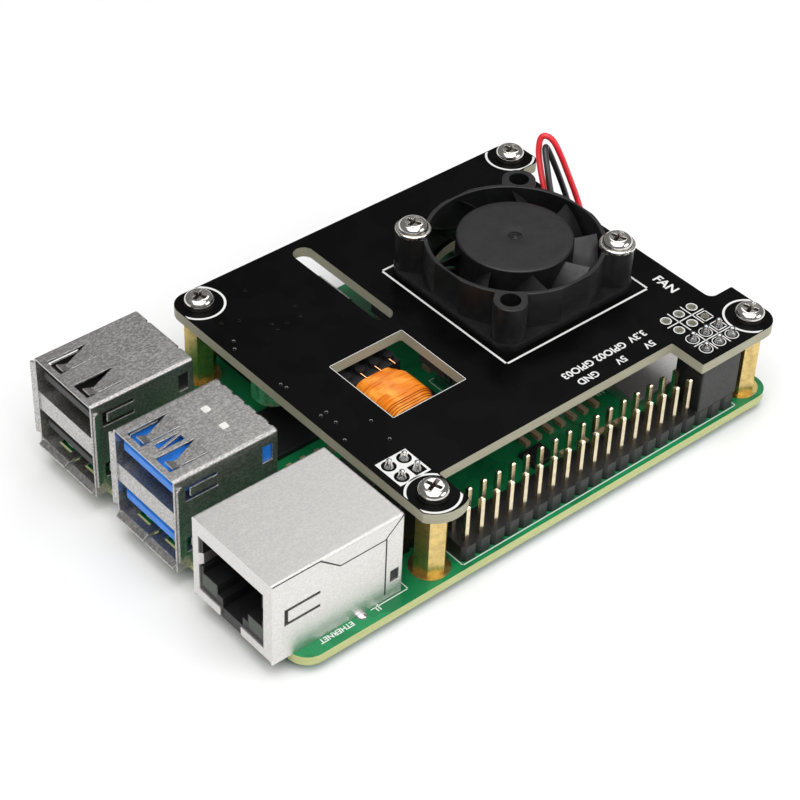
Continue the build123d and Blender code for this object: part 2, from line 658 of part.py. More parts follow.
def fan_board():
    outline = [
        ((DECK_X1, DECK_Y1 - 1.7), 0), ((DECK_X1, DECK_Y0), 2.8), ((DECK_X0, DECK_Y0), 3.0),
        ((DECK_X0, CABLE_Y[0]), 1.5), ((CABLE_X, CABLE_Y[0]), 1.2), ((CABLE_X, CABLE_Y[1]), 1.2),
        ((DECK_X0, CABLE_Y[1]), 0.2), ((DECK_X0, DECK_Y1 - 0.2), 3.0), ((RECESS_X[0], DECK_Y1 - 0.2), 0.2),
        ((RECESS_X[0], RECESS_Y), 0.3), ((RECESS_X[1], RECESS_Y), 0.4), ((RECESS_X[1], DECK_Y1 - 0.3), 0)]
    edge = FilletPolyline(*[p for p, r in outline], radius=[r for p, r in outline][1:-1])
    end = ThreePointArc(outline[-1][0], (61.0, DECK_Y1 + 0.35), outline[0][0])
    edge = Wire(edge.edges() + end.edges())
    plate = make_face(edge)
    window = Pos((WINDOW[0] + WINDOW[1]) / 2, (WINDOW[2] + WINDOW[3]) / 2)
    window *= RectangleRounded(WINDOW[1] - WINDOW[0], WINDOW[3] - WINDOW[2], 0.4)
    slot_mid = (SLOT_SPAN[0] + SLOT_SPAN[1]) / 2
    slot = Pos(SLOT_X, slot_mid) * Rot(0, 0, 90) * SlotOverall(SLOT_SPAN[1] - SLOT_SPAN[0], SLOT_W)
    cuts = [window, slot, Pos(FAN_X, FAN_Y) * Circle(AIR_R)]
    cuts += [Pos(x, y) * Circle(DECK_HOLE_R) for x, y in corners()]
    cuts += [Pos(x, y) * Circle(FAN_BOARD_HOLE_R) for x, y in fan_corners()]
    cuts += [Pos(x, y) * Circle(PIN_HOLE_R) for x, y in STACK_PINS + POWER_PINS + SPARE_HOLES]
    return Pos(0, 0, DECK) * extrude(plate - cuts, DECK_T)


def standoffs():
    pieces = []
    for x, y in corners():
        hexagon = Rot(0, 0, STANDOFF_TURN) * RegularPolygon(STANDOFF_AF / 2, 6, major_radius=False)
        body = Pos(x, y, STANDOFF_H / 2) * extrude(hexagon, STANDOFF_H / 2, both=True)
        blank = Cylinder(STANDOFF_AF / 2 / math.cos(math.radians(30)), STANDOFF_H)
        blank = chamfer(blank.edges().filter_by(GeomType.CIRCLE), 0.2)
        body &= Pos(x, y, STANDOFF_H / 2) * blank
        body -= rod(x, y, THREAD_R, 0, STANDOFF_H)
        pieces.append(body)
    return together(pieces)


def cross_recess(x, y, z, size):
    """A tapering cross for a Phillips driver."""
    cut = []
    for turn in (20, 110):
        wide_end = Rectangle(size, size * 0.24)
        narrow_end = Pos(0, 0, -size * 0.42) * Rectangle(size * 0.35, 0.2)
        arm = loft([wide_end, narrow_end])
        cut.append(Pos(x, y, z) * Rot(0, 0, turn) * arm)
    return cut


def pan_screw(x, y, seat, head_r, head_h, flange_r, shank_r, length):
    """A domed screw: head above the seat, plain shank below it."""
    head = rod(x, y, head_r, seat, seat + head_h)
    head = fillet(head.edges().filter_by(GeomType.CIRCLE).sort_by(Axis.Z)[-1], head_h * 0.62)
    if flange_r > head_r:
        washer = rod(x, y, flange_r, seat, seat + 0.5)
        washer = fillet(washer.edges().filter_by(GeomType.CIRCLE).sort_by(Axis.Z)[-1], 0.2)
        head += washer
    screw = head + rod(x, y, shank_r, seat - length, seat)
    return screw - cross_recess(x, y, seat + head_h + 0.01, head_r * 1.15)


def board_screws():
    return together([pan_screw(x, y, DECK_TOP, 2.1, 1.5, 0, SCREW_R, 5.6) for x, y in corners()])


def fan_screws():
    return together([pan_screw(x, y, FAN_TOP, 2.1, 1.5, 2.55, 1.2, 11.2) for x, y in fan_screw_places()])


def fan_nuts():
    pieces = []
    for x, y in fan_screw_places():
        nut = Pos(x, y, DECK - 2.0) * extrude(RegularPolygon(2.5, 6, major_radius=False), 2.0)
        pieces.append(nut - rod(x, y, 1.25, DECK - 3, DECK + 1))
    return together(pieces)


# ---------------------------------------------------------------- transformer under the window
COIL_X = (45.3, 54.2)
COIL_Y = (27.0, 36.2)
COIL_Z = (3.0, 10.2)
CORE_X = (47.6, 51.9)
CORE_Z = (5.6, 7.8)
YOKE_Y = (24.4, 38.8)
YOKE_T = 1.7


def transformer_winding():
    body = block(COIL_X[0], COIL_X[1], COIL_Y[0], COIL_Y[1], COIL_Z[0], COIL_Z[1])
    body = fillet(body.edges().filter_by(Axis.Y), 2.2)
    return body - block(CORE_X[0] - 0.8, CORE_X[1] + 0.8, 20, 50, CORE_Z[0] - 0.8, CORE_Z[1] + 0.8)


def transformer_bobbin():
    """A tube through the winding, end flanges, and a rail of terminal posts at each end."""
    wall = 0.8
    body = block(CORE_X[0] - wall, CORE_X[1] + wall, COIL_Y[0] - 0.5, COIL_Y[1] + 0.5,
                 CORE_Z[0] - wall, CORE_Z[1] + wall)
    for y0, y1 in ((COIL_Y[0] - 0.5, COIL_Y[0]), (COIL_Y[1], COIL_Y[1] + 0.5)):
        body += block(COIL_X[0] - 0.3, COIL_X[1] + 0.3, y0, y1, COIL_Z[0], COIL_Z[1] - 0.9)
    for y0, y1 in ((COIL_Y[0] - 3.9, COIL_Y[0] - 0.5), (COIL_Y[1] + 0.5, COIL_Y[1] + 3.9)):
        body += block(COIL_X[0] - 0.3, COIL_X[1] + 0.3, y0, y1, 8.0, 9.2)
    for x in transformer_posts():
        for y in (COIL_Y[0] - 1.5, COIL_Y[1] + 1.5):
            body += rod(x, y, 0.75, 9.1, 10.0)
        for y in (COIL_Y[0] - 3.0, COIL_Y[1] + 3.0):
            body += rod(x, y, 0.8, 9.1, DECK)
    return body - block(CORE_X[0], CORE_X[1], 20, 50, CORE_Z[0], CORE_Z[1])


def transformer_posts():
    return [46.0 + i * 2.5 for i in range(4)]


def transformer_core():
    """Ferrite: a leg through the winding, a yoke at each end and a plate that closes the loop below."""
    body = block(CORE_X[0], CORE_X[1], YOKE_Y[0], YOKE_Y[1], CORE_Z[0], CORE_Z[1])
    for y0 in (YOKE_Y[0], YOKE_Y[1] - YOKE_T):
        body += block(COIL_X[0] + 0.4, COIL_X[1] - 0.4, y0, y0 + YOKE_T, 1.5, CORE_Z[1])
    body += block(COIL_X[0] + 0.4, COIL_X[1] - 0.4, YOKE_Y[0], YOKE_Y[1], 1.5, COIL_Z[0] - 0.1)
    return body


def fan_board_chips():
    converter = chip(60.4, 31.0, 5.0, 5.0, 0.9, DECK, True)
    rectifiers = [chip(x, 45.0, 4.6, 3.8, 1.8, DECK, True) for x in (44.5, 50.5, 55.6)]
    driver = chip(51.6, 8.2, 4.9, 3.9, 1.5, DECK, True)
    switch = chip(59.8, 10.0, 5.6, 5.0, 1.1, DECK, True)
    coupler = chip(39.0, 18.0, 4.4, 3.6, 2.0, DECK, True)
    return together([converter, driver, switch, coupler] + rectifiers)


def fan_board_capacitors():
    """Two metal cans that hang under the deck on square bases."""
    pieces = []
    for x in (51.8, 60.2):
        can = rod(x, 18.4, 3.1, DECK - 5.4, DECK - 0.4)
        can = fillet(can.edges().filter_by(GeomType.CIRCLE).sort_by(Axis.Z)[0], 0.35)
        foot = chamfer(block(x - 3.3, x + 3.3, 15.1, 21.7, DECK - 0.8, DECK).edges().filter_by(Axis.Z), 0.8)
        pieces.append(can + foot)
    return together(pieces)


def fan_board_inductors():
    return together([eased(36.6, 42.0, y - 2.7, y + 2.7, DECK - 3.0, DECK, 0.8) for y in (29.6, 36.6)])


# ---------------------------------------------------------------- fan
def around_fan(shape, turn=0.0):
    return Pos(FAN_X, FAN_Y, 0) * Rot(0, 0, turn) * shape


EXIT_TURN = 204.0           # the leads leave through a notch on this side of the round wall
EXIT_Z = DECK_TOP + 1.9


def fan_frame():
    """A thin square foot, a round wall with four screw posts, and the motor plate on three spokes."""
    half = FAN_SIZE / 2
    square = rounded(FAN_X - half, FAN_X + half, FAN_Y - half, FAN_Y + half, DECK_TOP, FAN_TOP, 2.4)
    foot = square & block(0, BOARD_L, 0, BOARD_W, DECK_TOP, DECK_TOP + 1.3)
    body = rod(FAN_X, FAN_Y, FAN_RING_R, DECK_TOP, FAN_TOP) & square
    for x, y in fan_corners():
        body += rod(x, y, FAN_LUG_R, DECK_TOP, FAN_TOP)
        angle = math.degrees(math.atan2(y - FAN_Y, x - FAN_X))
        web = Pos(12.2, 0, (DECK_TOP + FAN_TOP) / 2) * Box(2.8, 4.6, FAN_H)
        body += around_fan(web, angle)
    body -= rod(FAN_X, FAN_Y, FAN_BORE_R, DECK_TOP - 1, FAN_TOP + 1)
    rim = body.faces().sort_by(Axis.Z)[-1].edges()
    body = fillet(rim, 0.15) + foot
    body -= rod(FAN_X, FAN_Y, FAN_BORE_R, DECK_TOP - 1, DECK_TOP + 2)
    body -= [rod(x, y, FAN_HOLE_R, DECK_TOP - 1, FAN_TOP + 1) for x, y in fan_corners()]
    body -= around_fan(Pos(12.4, 0, EXIT_Z + 0.1) * Box(2.4, 2.6, 1.3), EXIT_TURN)
    plate = rod(FAN_X, FAN_Y, HUB_R, MOTOR_Z, MOTOR_Z + MOTOR_T)
    for turn in (EXIT_TURN, EXIT_TURN + 120, EXIT_TURN + 240):
        middle = Pos((HUB_R + FAN_BORE_R) / 2, 0, MOTOR_Z + MOTOR_T / 2)
        spoke = middle * Box(FAN_BORE_R - HUB_R + 0.6, 1.3, MOTOR_T)
        plate += around_fan(spoke, turn)
    plate += rod(FAN_X, FAN_Y, BOSS_R, MOTOR_Z, MOTOR_Z + 5.0)
    plate -= rod(FAN_X, FAN_Y, BEARING_R, MOTOR_Z + 0.4, FAN_TOP)
    return body + plate


def blade():
    """One twisted blade, lofted from its root inside the hub's wall to its tip."""
    sections = []
    mid = (ROTOR_LOW + FAN_TOP - 0.35) / 2
    # radius, pitch in degrees, sweep in degrees, chord
    root, middle, tip = (HUB_R - 0.35, 54, 0.0, 5.6), (9.9, 48, 2.4, 6.0), (BLADE_R + 0.3, 42, 4.8, 6.4)
    for radius, pitch, sweep, chord in (root, middle, tip):
        section = Plane(origin=(radius, 0, mid), x_dir=(0, 1, 0), z_dir=(1, 0, 0)) * Rot(0, 0, pitch)
        sections.append(Rot(0, 0, sweep) * section * Rectangle(chord, 0.6))
    return loft(sections) & rod(0, 0, BLADE_R, ROTOR_LOW, FAN_TOP)


def fan_rotor():
    """Hub cup with nine blades."""
    cup = rod(FAN_X, FAN_Y, HUB_R, ROTOR_LOW, HUB_TOP)
    cup = fillet(cup.edges().filter_by(GeomType.CIRCLE).sort_by(Axis.Z)[-1], 0.3)
    one = blade()
    body = cup + [around_fan(one, BLADE_TURN + i * 360 / BLADES) for i in range(BLADES)]
    body -= rod(FAN_X, FAN_Y, HUB_R - 1.0, ROTOR_LOW - 1, HUB_TOP - 1.2)
    return body - rod(FAN_X, FAN_Y, SHAFT_R, ROTOR_LOW, HUB_TOP - 0.6)


def fan_shaft():
    return rod(FAN_X, FAN_Y, SHAFT_R, MOTOR_Z + 0.7, FAN_TOP - 0.55)


def fan_magnet():
    return tube(FAN_X, FAN_Y, HUB_R - 1.0, HUB_R - 1.7, MOTOR_Z + MOTOR_T + 0.8, FAN_TOP - 1.15)


def fan_bearing():
    return tube(FAN_X, FAN_Y, BEARING_R, SHAFT_R + BEARING_GAP, MOTOR_Z + 0.55, MOTOR_Z + 4.6)


STATOR_Z = (MOTOR_Z + 2.0, MOTOR_Z + 3.4)
POLES = 4


def fan_stator():
    """Laminated core: a ring on the boss and four wide-footed poles."""
    mid = (STATOR_Z[0] + STATOR_Z[1]) / 2
    height = STATOR_Z[1] - STATOR_Z[0]
    core = rod(FAN_X, FAN_Y, 3.0, *STATOR_Z)
    for i in range(POLES):
        core += around_fan(Pos(4.0, 0, mid) * Box(3.0, 1.2, height), i * 90 + 45)
    rim = tube(FAN_X, FAN_Y, 5.7, 5.0, *STATOR_Z)
    for i in range(POLES):
        rim -= around_fan(Pos(5.4, 0, mid) * Box(2.0, 1.1, height + 1), i * 90)
    core += rim
    return core - rod(FAN_X, FAN_Y, BOSS_R, STATOR_Z[0] - 1, STATOR_Z[1] + 1)


def fan_coils():
    pieces = []
    mid = (STATOR_Z[0] + STATOR_Z[1]) / 2
    height = STATOR_Z[1] - STATOR_Z[0]
    for i in range(POLES):
        coil = Pos(4.05, 0, mid) * Box(1.5, 2.3, height + 1.0)
        coil -= Pos(4.05, 0, mid) * Box(3.0, 1.2, height)
        pieces.append(around_fan(coil, i * 90 + 45))
    return together(pieces)


# ---------------------------------------------------------------- fan lead and its connector
PLUG_Y = 19.5
PLUG_Z = 8.4
PLUG_REAR = 6.2
LEAD_PITCH = 2.0


def fan_plug():
    """The plug is a small moulded block, pushed into the socket below the deck."""
    body = block(PLUG_REAR, 9.6, PLUG_Y - 1.85, PLUG_Y + 1.85, PLUG_Z - 1.2, PLUG_Z + 1.2)
    return chamfer(body.faces().sort_by(Axis.X)[-1].edges(), 0.2)


def fan_socket():
    body = eased(7.6, 11.8, PLUG_Y - 2.6, PLUG_Y + 2.6, PLUG_Z - 1.9, DECK, 0.2)
    return body - block(7.0, 10.4, PLUG_Y - 1.9, PLUG_Y + 1.9, PLUG_Z - 1.25, PLUG_Z + 1.25)


def at_exit(radius, offset):
    """A point on the lead's way out of the fan: distance from the fan's centre, and to one side."""
    turn = math.radians(EXIT_TURN)
    x = FAN_X + radius * math.cos(turn) - offset * math.sin(turn)
    y = FAN_Y + radius * math.sin(turn) + offset * math.cos(turn)
    return (x, y, EXIT_Z)


RED_ROUTE = [
    at_exit(11.9, 0.6), at_exit(13.8, 0.6), (10.2, 18.7, 15.5), (9.8, 17.1, 17.5), (9.1, 15.4, 19.5),
    (8.4, 14.0, 21.6), (7.6, 13.6, 23.6), (6.7, 15.0, 23.4), (6.1, 16.4, 21.0), (5.1, 17.5, 17.4),
    (4.1, 18.7, 13.6), (3.6, 19.6, 10.6), (4.3, PLUG_Y + LEAD_PITCH / 2, PLUG_Z),
    (PLUG_REAR, PLUG_Y + LEAD_PITCH / 2, PLUG_Z)]
BLACK_ROUTE = [
    at_exit(11.9, -0.6), at_exit(13.8, -0.6), (10.2, 19.8, 15.9), (9.9, 18.5, 17.9), (9.2, 17.0, 20.1),
    (8.3, 15.3, 21.9), (7.4, 14.5, 22.2), (6.5, 15.0, 20.0), (5.3, 15.7, 16.6), (4.1, 16.3, 13.0),
    (3.7, 17.0, 10.6), (4.4, PLUG_Y - LEAD_PITCH / 2, PLUG_Z), (PLUG_REAR, PLUG_Y - LEAD_PITCH / 2, PLUG_Z)]


def lead(route, name):
    """A lead along straight runs joined by tangent arcs, each as large as its two runs allow."""
    points = [Vector(*p) for p in route]
    radii = []
    for a, b, c in zip(points, points[1:], points[2:]):
        turn = math.radians((b - a).get_angle(c - b))
        shorter = min((b - a).length, (c - b).length)
        radii.append(0.45 * shorter / math.tan(turn / 2))
    path = FilletPolyline(*points, radius=radii)
    section = Plane(origin=path @ 0, z_dir=path % 0) * Circle(WIRE_D / 2)
    body = sweep(section, path=path)
    expected = math.pi * (WIRE_D / 2) ** 2 * path.length
    print(name, "length", round(path.length, 2), "volume", round(body.volume, 3), "of", round(expected, 3),
          "radii", [round(r, 2) for r in radii])
    return body


# ---------------------------------------------------------------- build
os.makedirs("parts", exist_ok=True)

save("main_board", main_board())
save("gpio_header_base", header_base(GPIO_PINS))
save("power_header_base", header_base(POWER_PINS))
save("header_pins", together([header_pin(x, y) for x, y in GPIO_PINS + POWER_PINS]))
save("stack_socket", socket(STACK_PINS))
save("power_socket", socket(POWER_PINS))
save("socket_contacts", together([socket_contact(x, y) for x, y in STACK_PINS + POWER_PINS]))
save("usb3_shell", usb_shell(USB3_Y, centre_cut=True))
save("usb3_housing", usb_housing(USB3_Y))
save("usb3_contacts", usb_contacts(USB3_Y, USB3_TAILS, 5))
save("usb2_shell", usb_shell(USB2_Y, centre_cut=False))
save("usb2_housing", usb_housing(USB2_Y))
save("usb2_contacts", usb_contacts(USB2_Y, USB2_TAILS, 4))
save("ethernet_shell", ethernet_shell())
save("ethernet_housing", ethernet_housing())
save("ethernet_contacts", ethernet_contacts())
save("ethernet_light_pipes", ethernet_light_pipes())
save("usb_c_shell", usb_c_shell())
save("usb_c_tongue", usb_c_tongue())
save("micro_hdmi_shells", micro_hdmi_shells())
save("micro_hdmi_tongues", micro_hdmi_tongues())
save("audio_jack_body", audio_jack_body())
save("audio_jack_contacts", audio_jack_contacts())
save("camera_connector_base", ribbon_base(CAMERA_X, CAMERA_Y))
save("camera_connector_latch", ribbon_latch(CAMERA_X, CAMERA_Y))
save("display_connector_base", ribbon_base(DISPLAY_X, DISPLAY_Y))
save("display_connector_latch", ribbon_latch(DISPLAY_X, DISPLAY_Y))
save("processor_substrate", processor_substrate())
save("processor_lid", processor_lid())
save("memory_chip", chip(43.9, 33.0, 10.0, 14.4, 1.0))
save("wireless_shield", wireless_shield())
save("controller_chips", controller_chips())
save("small_passives", small_passives())
save("power_inductors", power_inductors())
save("crystals", crystals())
save("status_leds", status_leds())
save("card_slot_base", card_slot_base())
save("card_slot_shell", card_slot_shell())
save("fan_board", fan_board())
save("standoffs", standoffs())
save("board_screws", board_screws())
save("fan_screws", fan_screws())
save("fan_nuts", fan_nuts())
save("transformer_core", transformer_core())
save("transformer_bobbin", transformer_bobbin())
save("transformer_winding", transformer_winding())
save("fan_board_chips", fan_board_chips())
save("fan_board_capacitors", fan_board_capacitors())
save("fan_board_inductors", fan_board_inductors())
save("fan_frame", fan_frame())
save("fan_rotor", fan_rotor())
save("fan_shaft", fan_shaft())
save("fan_magnet", fan_magnet())
save("fan_bearing", fan_bearing())
save("fan_stator", fan_stator())
save("fan_coils", fan_coils())
save("fan_plug", fan_plug())
save("fan_socket", fan_socket())
save("red_lead", lead(RED_ROUTE, "red_lead"))
save("black_lead", lead(BLACK_ROUTE, "black_lead"))
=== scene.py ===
import json
import math
import random

import bmesh
import bpy
from mathutils import Matrix, Vector


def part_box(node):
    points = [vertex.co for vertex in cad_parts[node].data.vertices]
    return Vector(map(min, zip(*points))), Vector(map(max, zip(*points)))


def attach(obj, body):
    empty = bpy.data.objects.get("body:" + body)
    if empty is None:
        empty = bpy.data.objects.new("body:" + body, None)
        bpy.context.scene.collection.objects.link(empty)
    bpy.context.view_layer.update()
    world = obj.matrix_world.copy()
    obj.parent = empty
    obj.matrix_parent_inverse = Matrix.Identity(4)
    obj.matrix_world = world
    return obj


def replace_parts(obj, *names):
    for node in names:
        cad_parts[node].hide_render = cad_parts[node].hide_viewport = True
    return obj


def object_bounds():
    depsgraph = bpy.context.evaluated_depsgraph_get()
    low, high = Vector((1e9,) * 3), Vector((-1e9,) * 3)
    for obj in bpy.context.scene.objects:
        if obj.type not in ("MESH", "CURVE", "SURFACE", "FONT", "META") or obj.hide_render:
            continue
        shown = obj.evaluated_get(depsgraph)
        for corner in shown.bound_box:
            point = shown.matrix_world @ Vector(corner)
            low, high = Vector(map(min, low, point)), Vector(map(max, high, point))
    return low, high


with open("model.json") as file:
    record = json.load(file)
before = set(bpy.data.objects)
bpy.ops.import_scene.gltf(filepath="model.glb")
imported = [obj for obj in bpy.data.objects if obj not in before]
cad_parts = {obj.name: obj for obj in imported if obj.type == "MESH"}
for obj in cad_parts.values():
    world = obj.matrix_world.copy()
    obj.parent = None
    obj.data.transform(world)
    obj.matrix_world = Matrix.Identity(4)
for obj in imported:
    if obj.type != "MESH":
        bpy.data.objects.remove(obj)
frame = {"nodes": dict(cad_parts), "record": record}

CAD_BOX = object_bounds()

# ---------------------------------------------------------------- layout
# The layout is written in millimetres from one corner of the main board, as the CAD is:
# x from the card edge, y from the video port edge, z up from the main board's top face.
MM = 0.001
BOARD_LOW, BOARD_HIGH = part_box("main_board")
DECK_TOP = (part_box("fan_board")[1].z - BOARD_HIGH.z) / MM
BOARD_UNDER = (BOARD_LOW.z - BOARD_HIGH.z) / MM
PITCH = 2.54
GPIO_X, GPIO_Y = 8.37, 51.23
POWER_X, POWER_Y = 60.08, 45.18
HOLES = [(x, y) for x in (3.5, 61.5) for y in (3.5, 52.5)]
HOLE_R = 1.36                # the bare pads start just outside the screw holes
HOLE_PAD_R = 2.85
FAN_X, FAN_Y = 23.6, 25.8
SILK_T = 0.02                # thickness of printed ink
PAD_T = 0.04                 # thickness of bare plated copper


def at(x, y, z):
    """A layout point in metres, in the CAD's frame."""
    return Vector((BOARD_LOW.x + x * MM, BOARD_LOW.y + y * MM, BOARD_HIGH.z + z * MM))


def grid(x0, y0, columns, rows):
    return [(x0 + i * PITCH, y0 + j * PITCH) for i in range(columns) for j in range(rows)]


GPIO_PINS = grid(GPIO_X, GPIO_Y, 20, 2)
POWER_PINS = grid(POWER_X, POWER_Y, 2, 2)
STACK_PINS = grid(GPIO_X, GPIO_Y, 3, 2)
SPARE_HOLES = grid(GPIO_X, GPIO_Y - 2 * PITCH, 3, 2)


# ---------------------------------------------------------------- material helpers
class Nodes:
    """A short way to write a node tree for one material."""

    def __init__(self, name):
        self.material = bpy.data.materials.new(name)
        self.material.use_nodes = True
        self.tree = self.material.node_tree
        self.shader = self.tree.nodes["Principled BSDF"]
        coordinates = self.tree.nodes.new("ShaderNodeTexCoord")
        self.place = coordinates.outputs["Object"]
        self.facing = coordinates.outputs["Normal"]

    def node(self, kind, **settings):
        made = self.tree.nodes.new("ShaderNode" + kind)
        for key, value in settings.items():
            setattr(made, key, value)
        return made

    def link(self, output, target):
        self.tree.links.new(output, target)

    def set(self, **values):
        for key, value in values.items():
            self.shader.inputs[key.replace("_", " ")].default_value = value
        return self

    def scaled(self, size):
        """Object coordinates stretched: size is in millimetres per unit along x, y and z."""
        mapping = self.node("Mapping")
        self.link(self.place, mapping.inputs["Vector"])
        mapping.inputs["Scale"].default_value = [1 / (s * MM) for s in size]
        return mapping.outputs["Vector"]

    def noise(self, size, detail=3.0, rough=0.55, stretch=(1, 1, 1)):
        texture = self.node("TexNoise")
        self.link(self.scaled([size * s for s in stretch]), texture.inputs["Vector"])
        texture.inputs["Scale"].default_value = 1.0
        texture.inputs["Detail"].default_value = detail
        texture.inputs["Roughness"].default_value = rough
        return texture.outputs["Fac"]

    def spread(self, value, low, high, to_low=0.0, to_high=1.0):
        ranged = self.node("MapRange")
        self.link(value, ranged.inputs["Value"])
        for key, number in zip(("From Min", "From Max", "To Min", "To Max"), (low, high, to_low, to_high)):
            ranged.inputs[key].default_value = number
        return ranged.outputs["Result"]

    def math(self, operation, a, b=0.0):
        made = self.node("Math", operation=operation)
        for i, value in enumerate((a, b)):
            if isinstance(value, (int, float)):
                made.inputs[i].default_value = value
            else:
                self.link(value, made.inputs[i])
        return made.outputs[0]

    def mix(self, factor, a, b):
        """Blend two colours. Each is a colour or another node's output."""
        made = self.node("Mix", data_type="RGBA")
        self.link(factor, made.inputs["Factor"])
        for key, value in (("A", a), ("B", b)):
            socket = [s for s in made.inputs if s.name == key and s.type == "RGBA"][0]
            if isinstance(value, tuple):
                socket.default_value = (*value, 1.0)
            else:
                self.link(value, socket)
        return [s for s in made.outputs if s.type == "RGBA"][0]

    def axis(self, vector, letter):
        split = self.node("SeparateXYZ")
        self.link(vector, split.inputs[0])
        return split.outputs[letter]

    def color(self, output):
        self.link(output, self.shader.inputs["Base Color"])
        return self

    def rough(self, output):
        self.link(output, self.shader.inputs["Roughness"])
        return self

    def bump(self, height, depth, strength=1.0, edge_r=0.0):
        """depth is the relief in millimetres; edge_r rounds the shading of sharp edges."""
        made = self.node("Bump")
        if edge_r:
            rounded = self.node("Bevel", samples=6)
            rounded.inputs["Radius"].default_value = edge_r * MM
            self.link(rounded.outputs["Normal"], made.inputs["Normal"])
        self.link(height, made.inputs["Height"])
        made.inputs["Distance"].default_value = depth * MM
        made.inputs["Strength"].default_value = strength
        self.link(made.outputs["Normal"], self.shader.inputs["Normal"])
        return self


def laminate_edge(n):
    """Cut glass fibre edge: pale olive with fine horizontal fibres."""
    fibres = n.noise(0.5, 4.0, 0.6, (6, 6, 0.35))
    return n.mix(fibres, (0.30, 0.29, 0.21), (0.50, 0.48, 0.37))


def upright_side(n):
    """1 on upright walls, 0 on the flat faces."""
    z = n.math("ABSOLUTE", n.axis(n.facing, "Z"))
    return n.math("LESS_THAN", z, 0.5)


def track_relief(n, size):
    """Copper areas under the mask: broad flats with soft steps between them."""
    broad = n.noise(size * 2.2, 1.0)
    return n.spread(broad, 0.485, 0.515)


def green_board():
    n = Nodes("green_board")
    tracks = track_relief(n, 1.9)
    mask = n.mix(tracks, (0.006, 0.130, 0.045), (0.012, 0.215, 0.075))
    cloud = n.noise(9.0, 2.0)
    mask = n.mix(n.spread(cloud, 0.3, 0.7), mask, (0.010, 0.240, 0.080))
    n.color(n.mix(upright_side(n), mask, green_edge(n)))
    n.rough(n.spread(n.noise(0.6), 0.3, 0.7, 0.26, 0.36))
    n.bump(tracks, 0.03, 0.5)
    return n.set(Coat_Weight=0.06, Coat_Roughness=0.2, Specular_IOR_Level=0.3).material


def green_edge(n):
    """The main board's cut edge is yellow green with fine horizontal fibres."""
    fibres = n.noise(0.5, 4.0, 0.6, (6, 6, 0.35))
    return n.mix(fibres, (0.36, 0.40, 0.12), (0.66, 0.68, 0.34))


def black_board():
    n = Nodes("black_board")
    tracks = track_relief(n, 3.1)
    mask = n.mix(tracks, (0.0018, 0.0018, 0.0019), (0.0026, 0.0026, 0.0027))
    n.color(n.mix(upright_side(n), mask, laminate_edge(n)))
    n.rough(n.spread(n.noise(0.35, 4.0, 0.7), 0.3, 0.7, 0.26, 0.36))
    n.bump(n.noise(0.12, 2.0), 0.006, 0.4)
    return n.set(Specular_IOR_Level=0.04).material


def moulded(name, color, rough=0.5, grain=0.10, depth=0.008):
    """Injection moulded plastic with a fine spark-eroded grain and slight colour drift."""
    n = Nodes(name)
    drift = n.noise(3.0, 2.0)
    lighter = tuple(min(1.0, c * 1.35 + 0.002) for c in color)
    n.color(n.mix(n.spread(drift, 0.35, 0.65), color, lighter))
    n.rough(n.spread(n.noise(grain * 4, 3.0), 0.3, 0.7, rough - 0.06, rough + 0.08))
    n.bump(n.noise(grain, 2.0, 0.6), depth, 0.6)
    return n.material


def sheet_metal(name, color, rough, grain, contrast, depth):
    """Plated steel sheet: speckled plating with faint rolling lines along x."""
    n = Nodes(name)
    speckle = n.noise(grain, 3.0, 0.7, (1.5, 0.8, 1.0))
    rolled = n.noise(grain, 2.0, 0.6, (14, 1, 1))
    blotch = n.noise(2.4, 2.0)
    mixed = n.math("ADD", n.math("MULTIPLY", speckle, 0.85), n.math("MULTIPLY", rolled, 0.15))
    darker = tuple(c * (1 - contrast) for c in color)
    base = n.mix(n.spread(mixed, 0.44, 0.58), darker, color)
    n.color(n.mix(n.spread(blotch, 0.3, 0.7, 0.0, 0.20), base, darker))
    n.rough(n.spread(speckle, 0.3, 0.7, rough - 0.07, rough + 0.10))
    n.bump(mixed, depth, 0.8, 0.12)
    return n.set(Metallic=1.0).material


def machined(name, color, rough, grain=0.05, stretch=(1, 1, 12), depth=0.003, stain=0.25):
    """Turned, drawn or plated metal with fine tool lines and slight staining."""
    n = Nodes(name)
    lines = n.noise(grain, 3.0, 0.65, stretch)
    blotch = n.noise(0.9, 3.0)
    darker = tuple(c * (1 - stain) for c in color)
    n.color(n.mix(n.spread(blotch, 0.35, 0.7), color, darker))
    n.rough(n.spread(lines, 0.3, 0.7, max(0.04, rough - 0.05), rough + 0.08))
    n.bump(lines, depth, 0.7)
    return n.set(Metallic=1.0).material


def screw_nickel():
    """Bright plating with old flux stains, and painted shade in the driver recess: dark brown where
    occlusion is high, for the shadow and old flux there.
    """
    n = Nodes("nickel")
    recess_shade_ao = n.node("AmbientOcclusion", samples=8)
    recess_shade_ao.inputs["Distance"].default_value = 0.6 * MM
    unshaded_part = n.spread(recess_shade_ao.outputs["AO"], 0.45, 0.85)
    stain = n.spread(n.noise(0.35, 3.0), 0.35, 0.65)
    plating = n.mix(stain, (0.84, 0.82, 0.79), (0.72, 0.69, 0.64))
    # painted shade: where occlusion is high the recess is coloured dark brown instead of the plating, for
    # the shade and old flux there
    n.color(n.mix(unshaded_part, (0.05, 0.030, 0.016), plating))
    n.rough(n.spread(unshaded_part, 0.0, 1.0, 0.6, 0.16))
    n.bump(n.noise(0.12, 2.0), 0.004, 0.6, 0.08)
    return n.set(Metallic=1.0).material


def printed_ink():
    n = Nodes("white_ink")
    n.color(n.mix(n.noise(0.09, 3.0, 0.7), (0.62, 0.62, 0.61), (0.82, 0.82, 0.80)))
    n.bump(n.noise(0.05), 0.004, 0.5)
    return n.set(Roughness=0.55).material


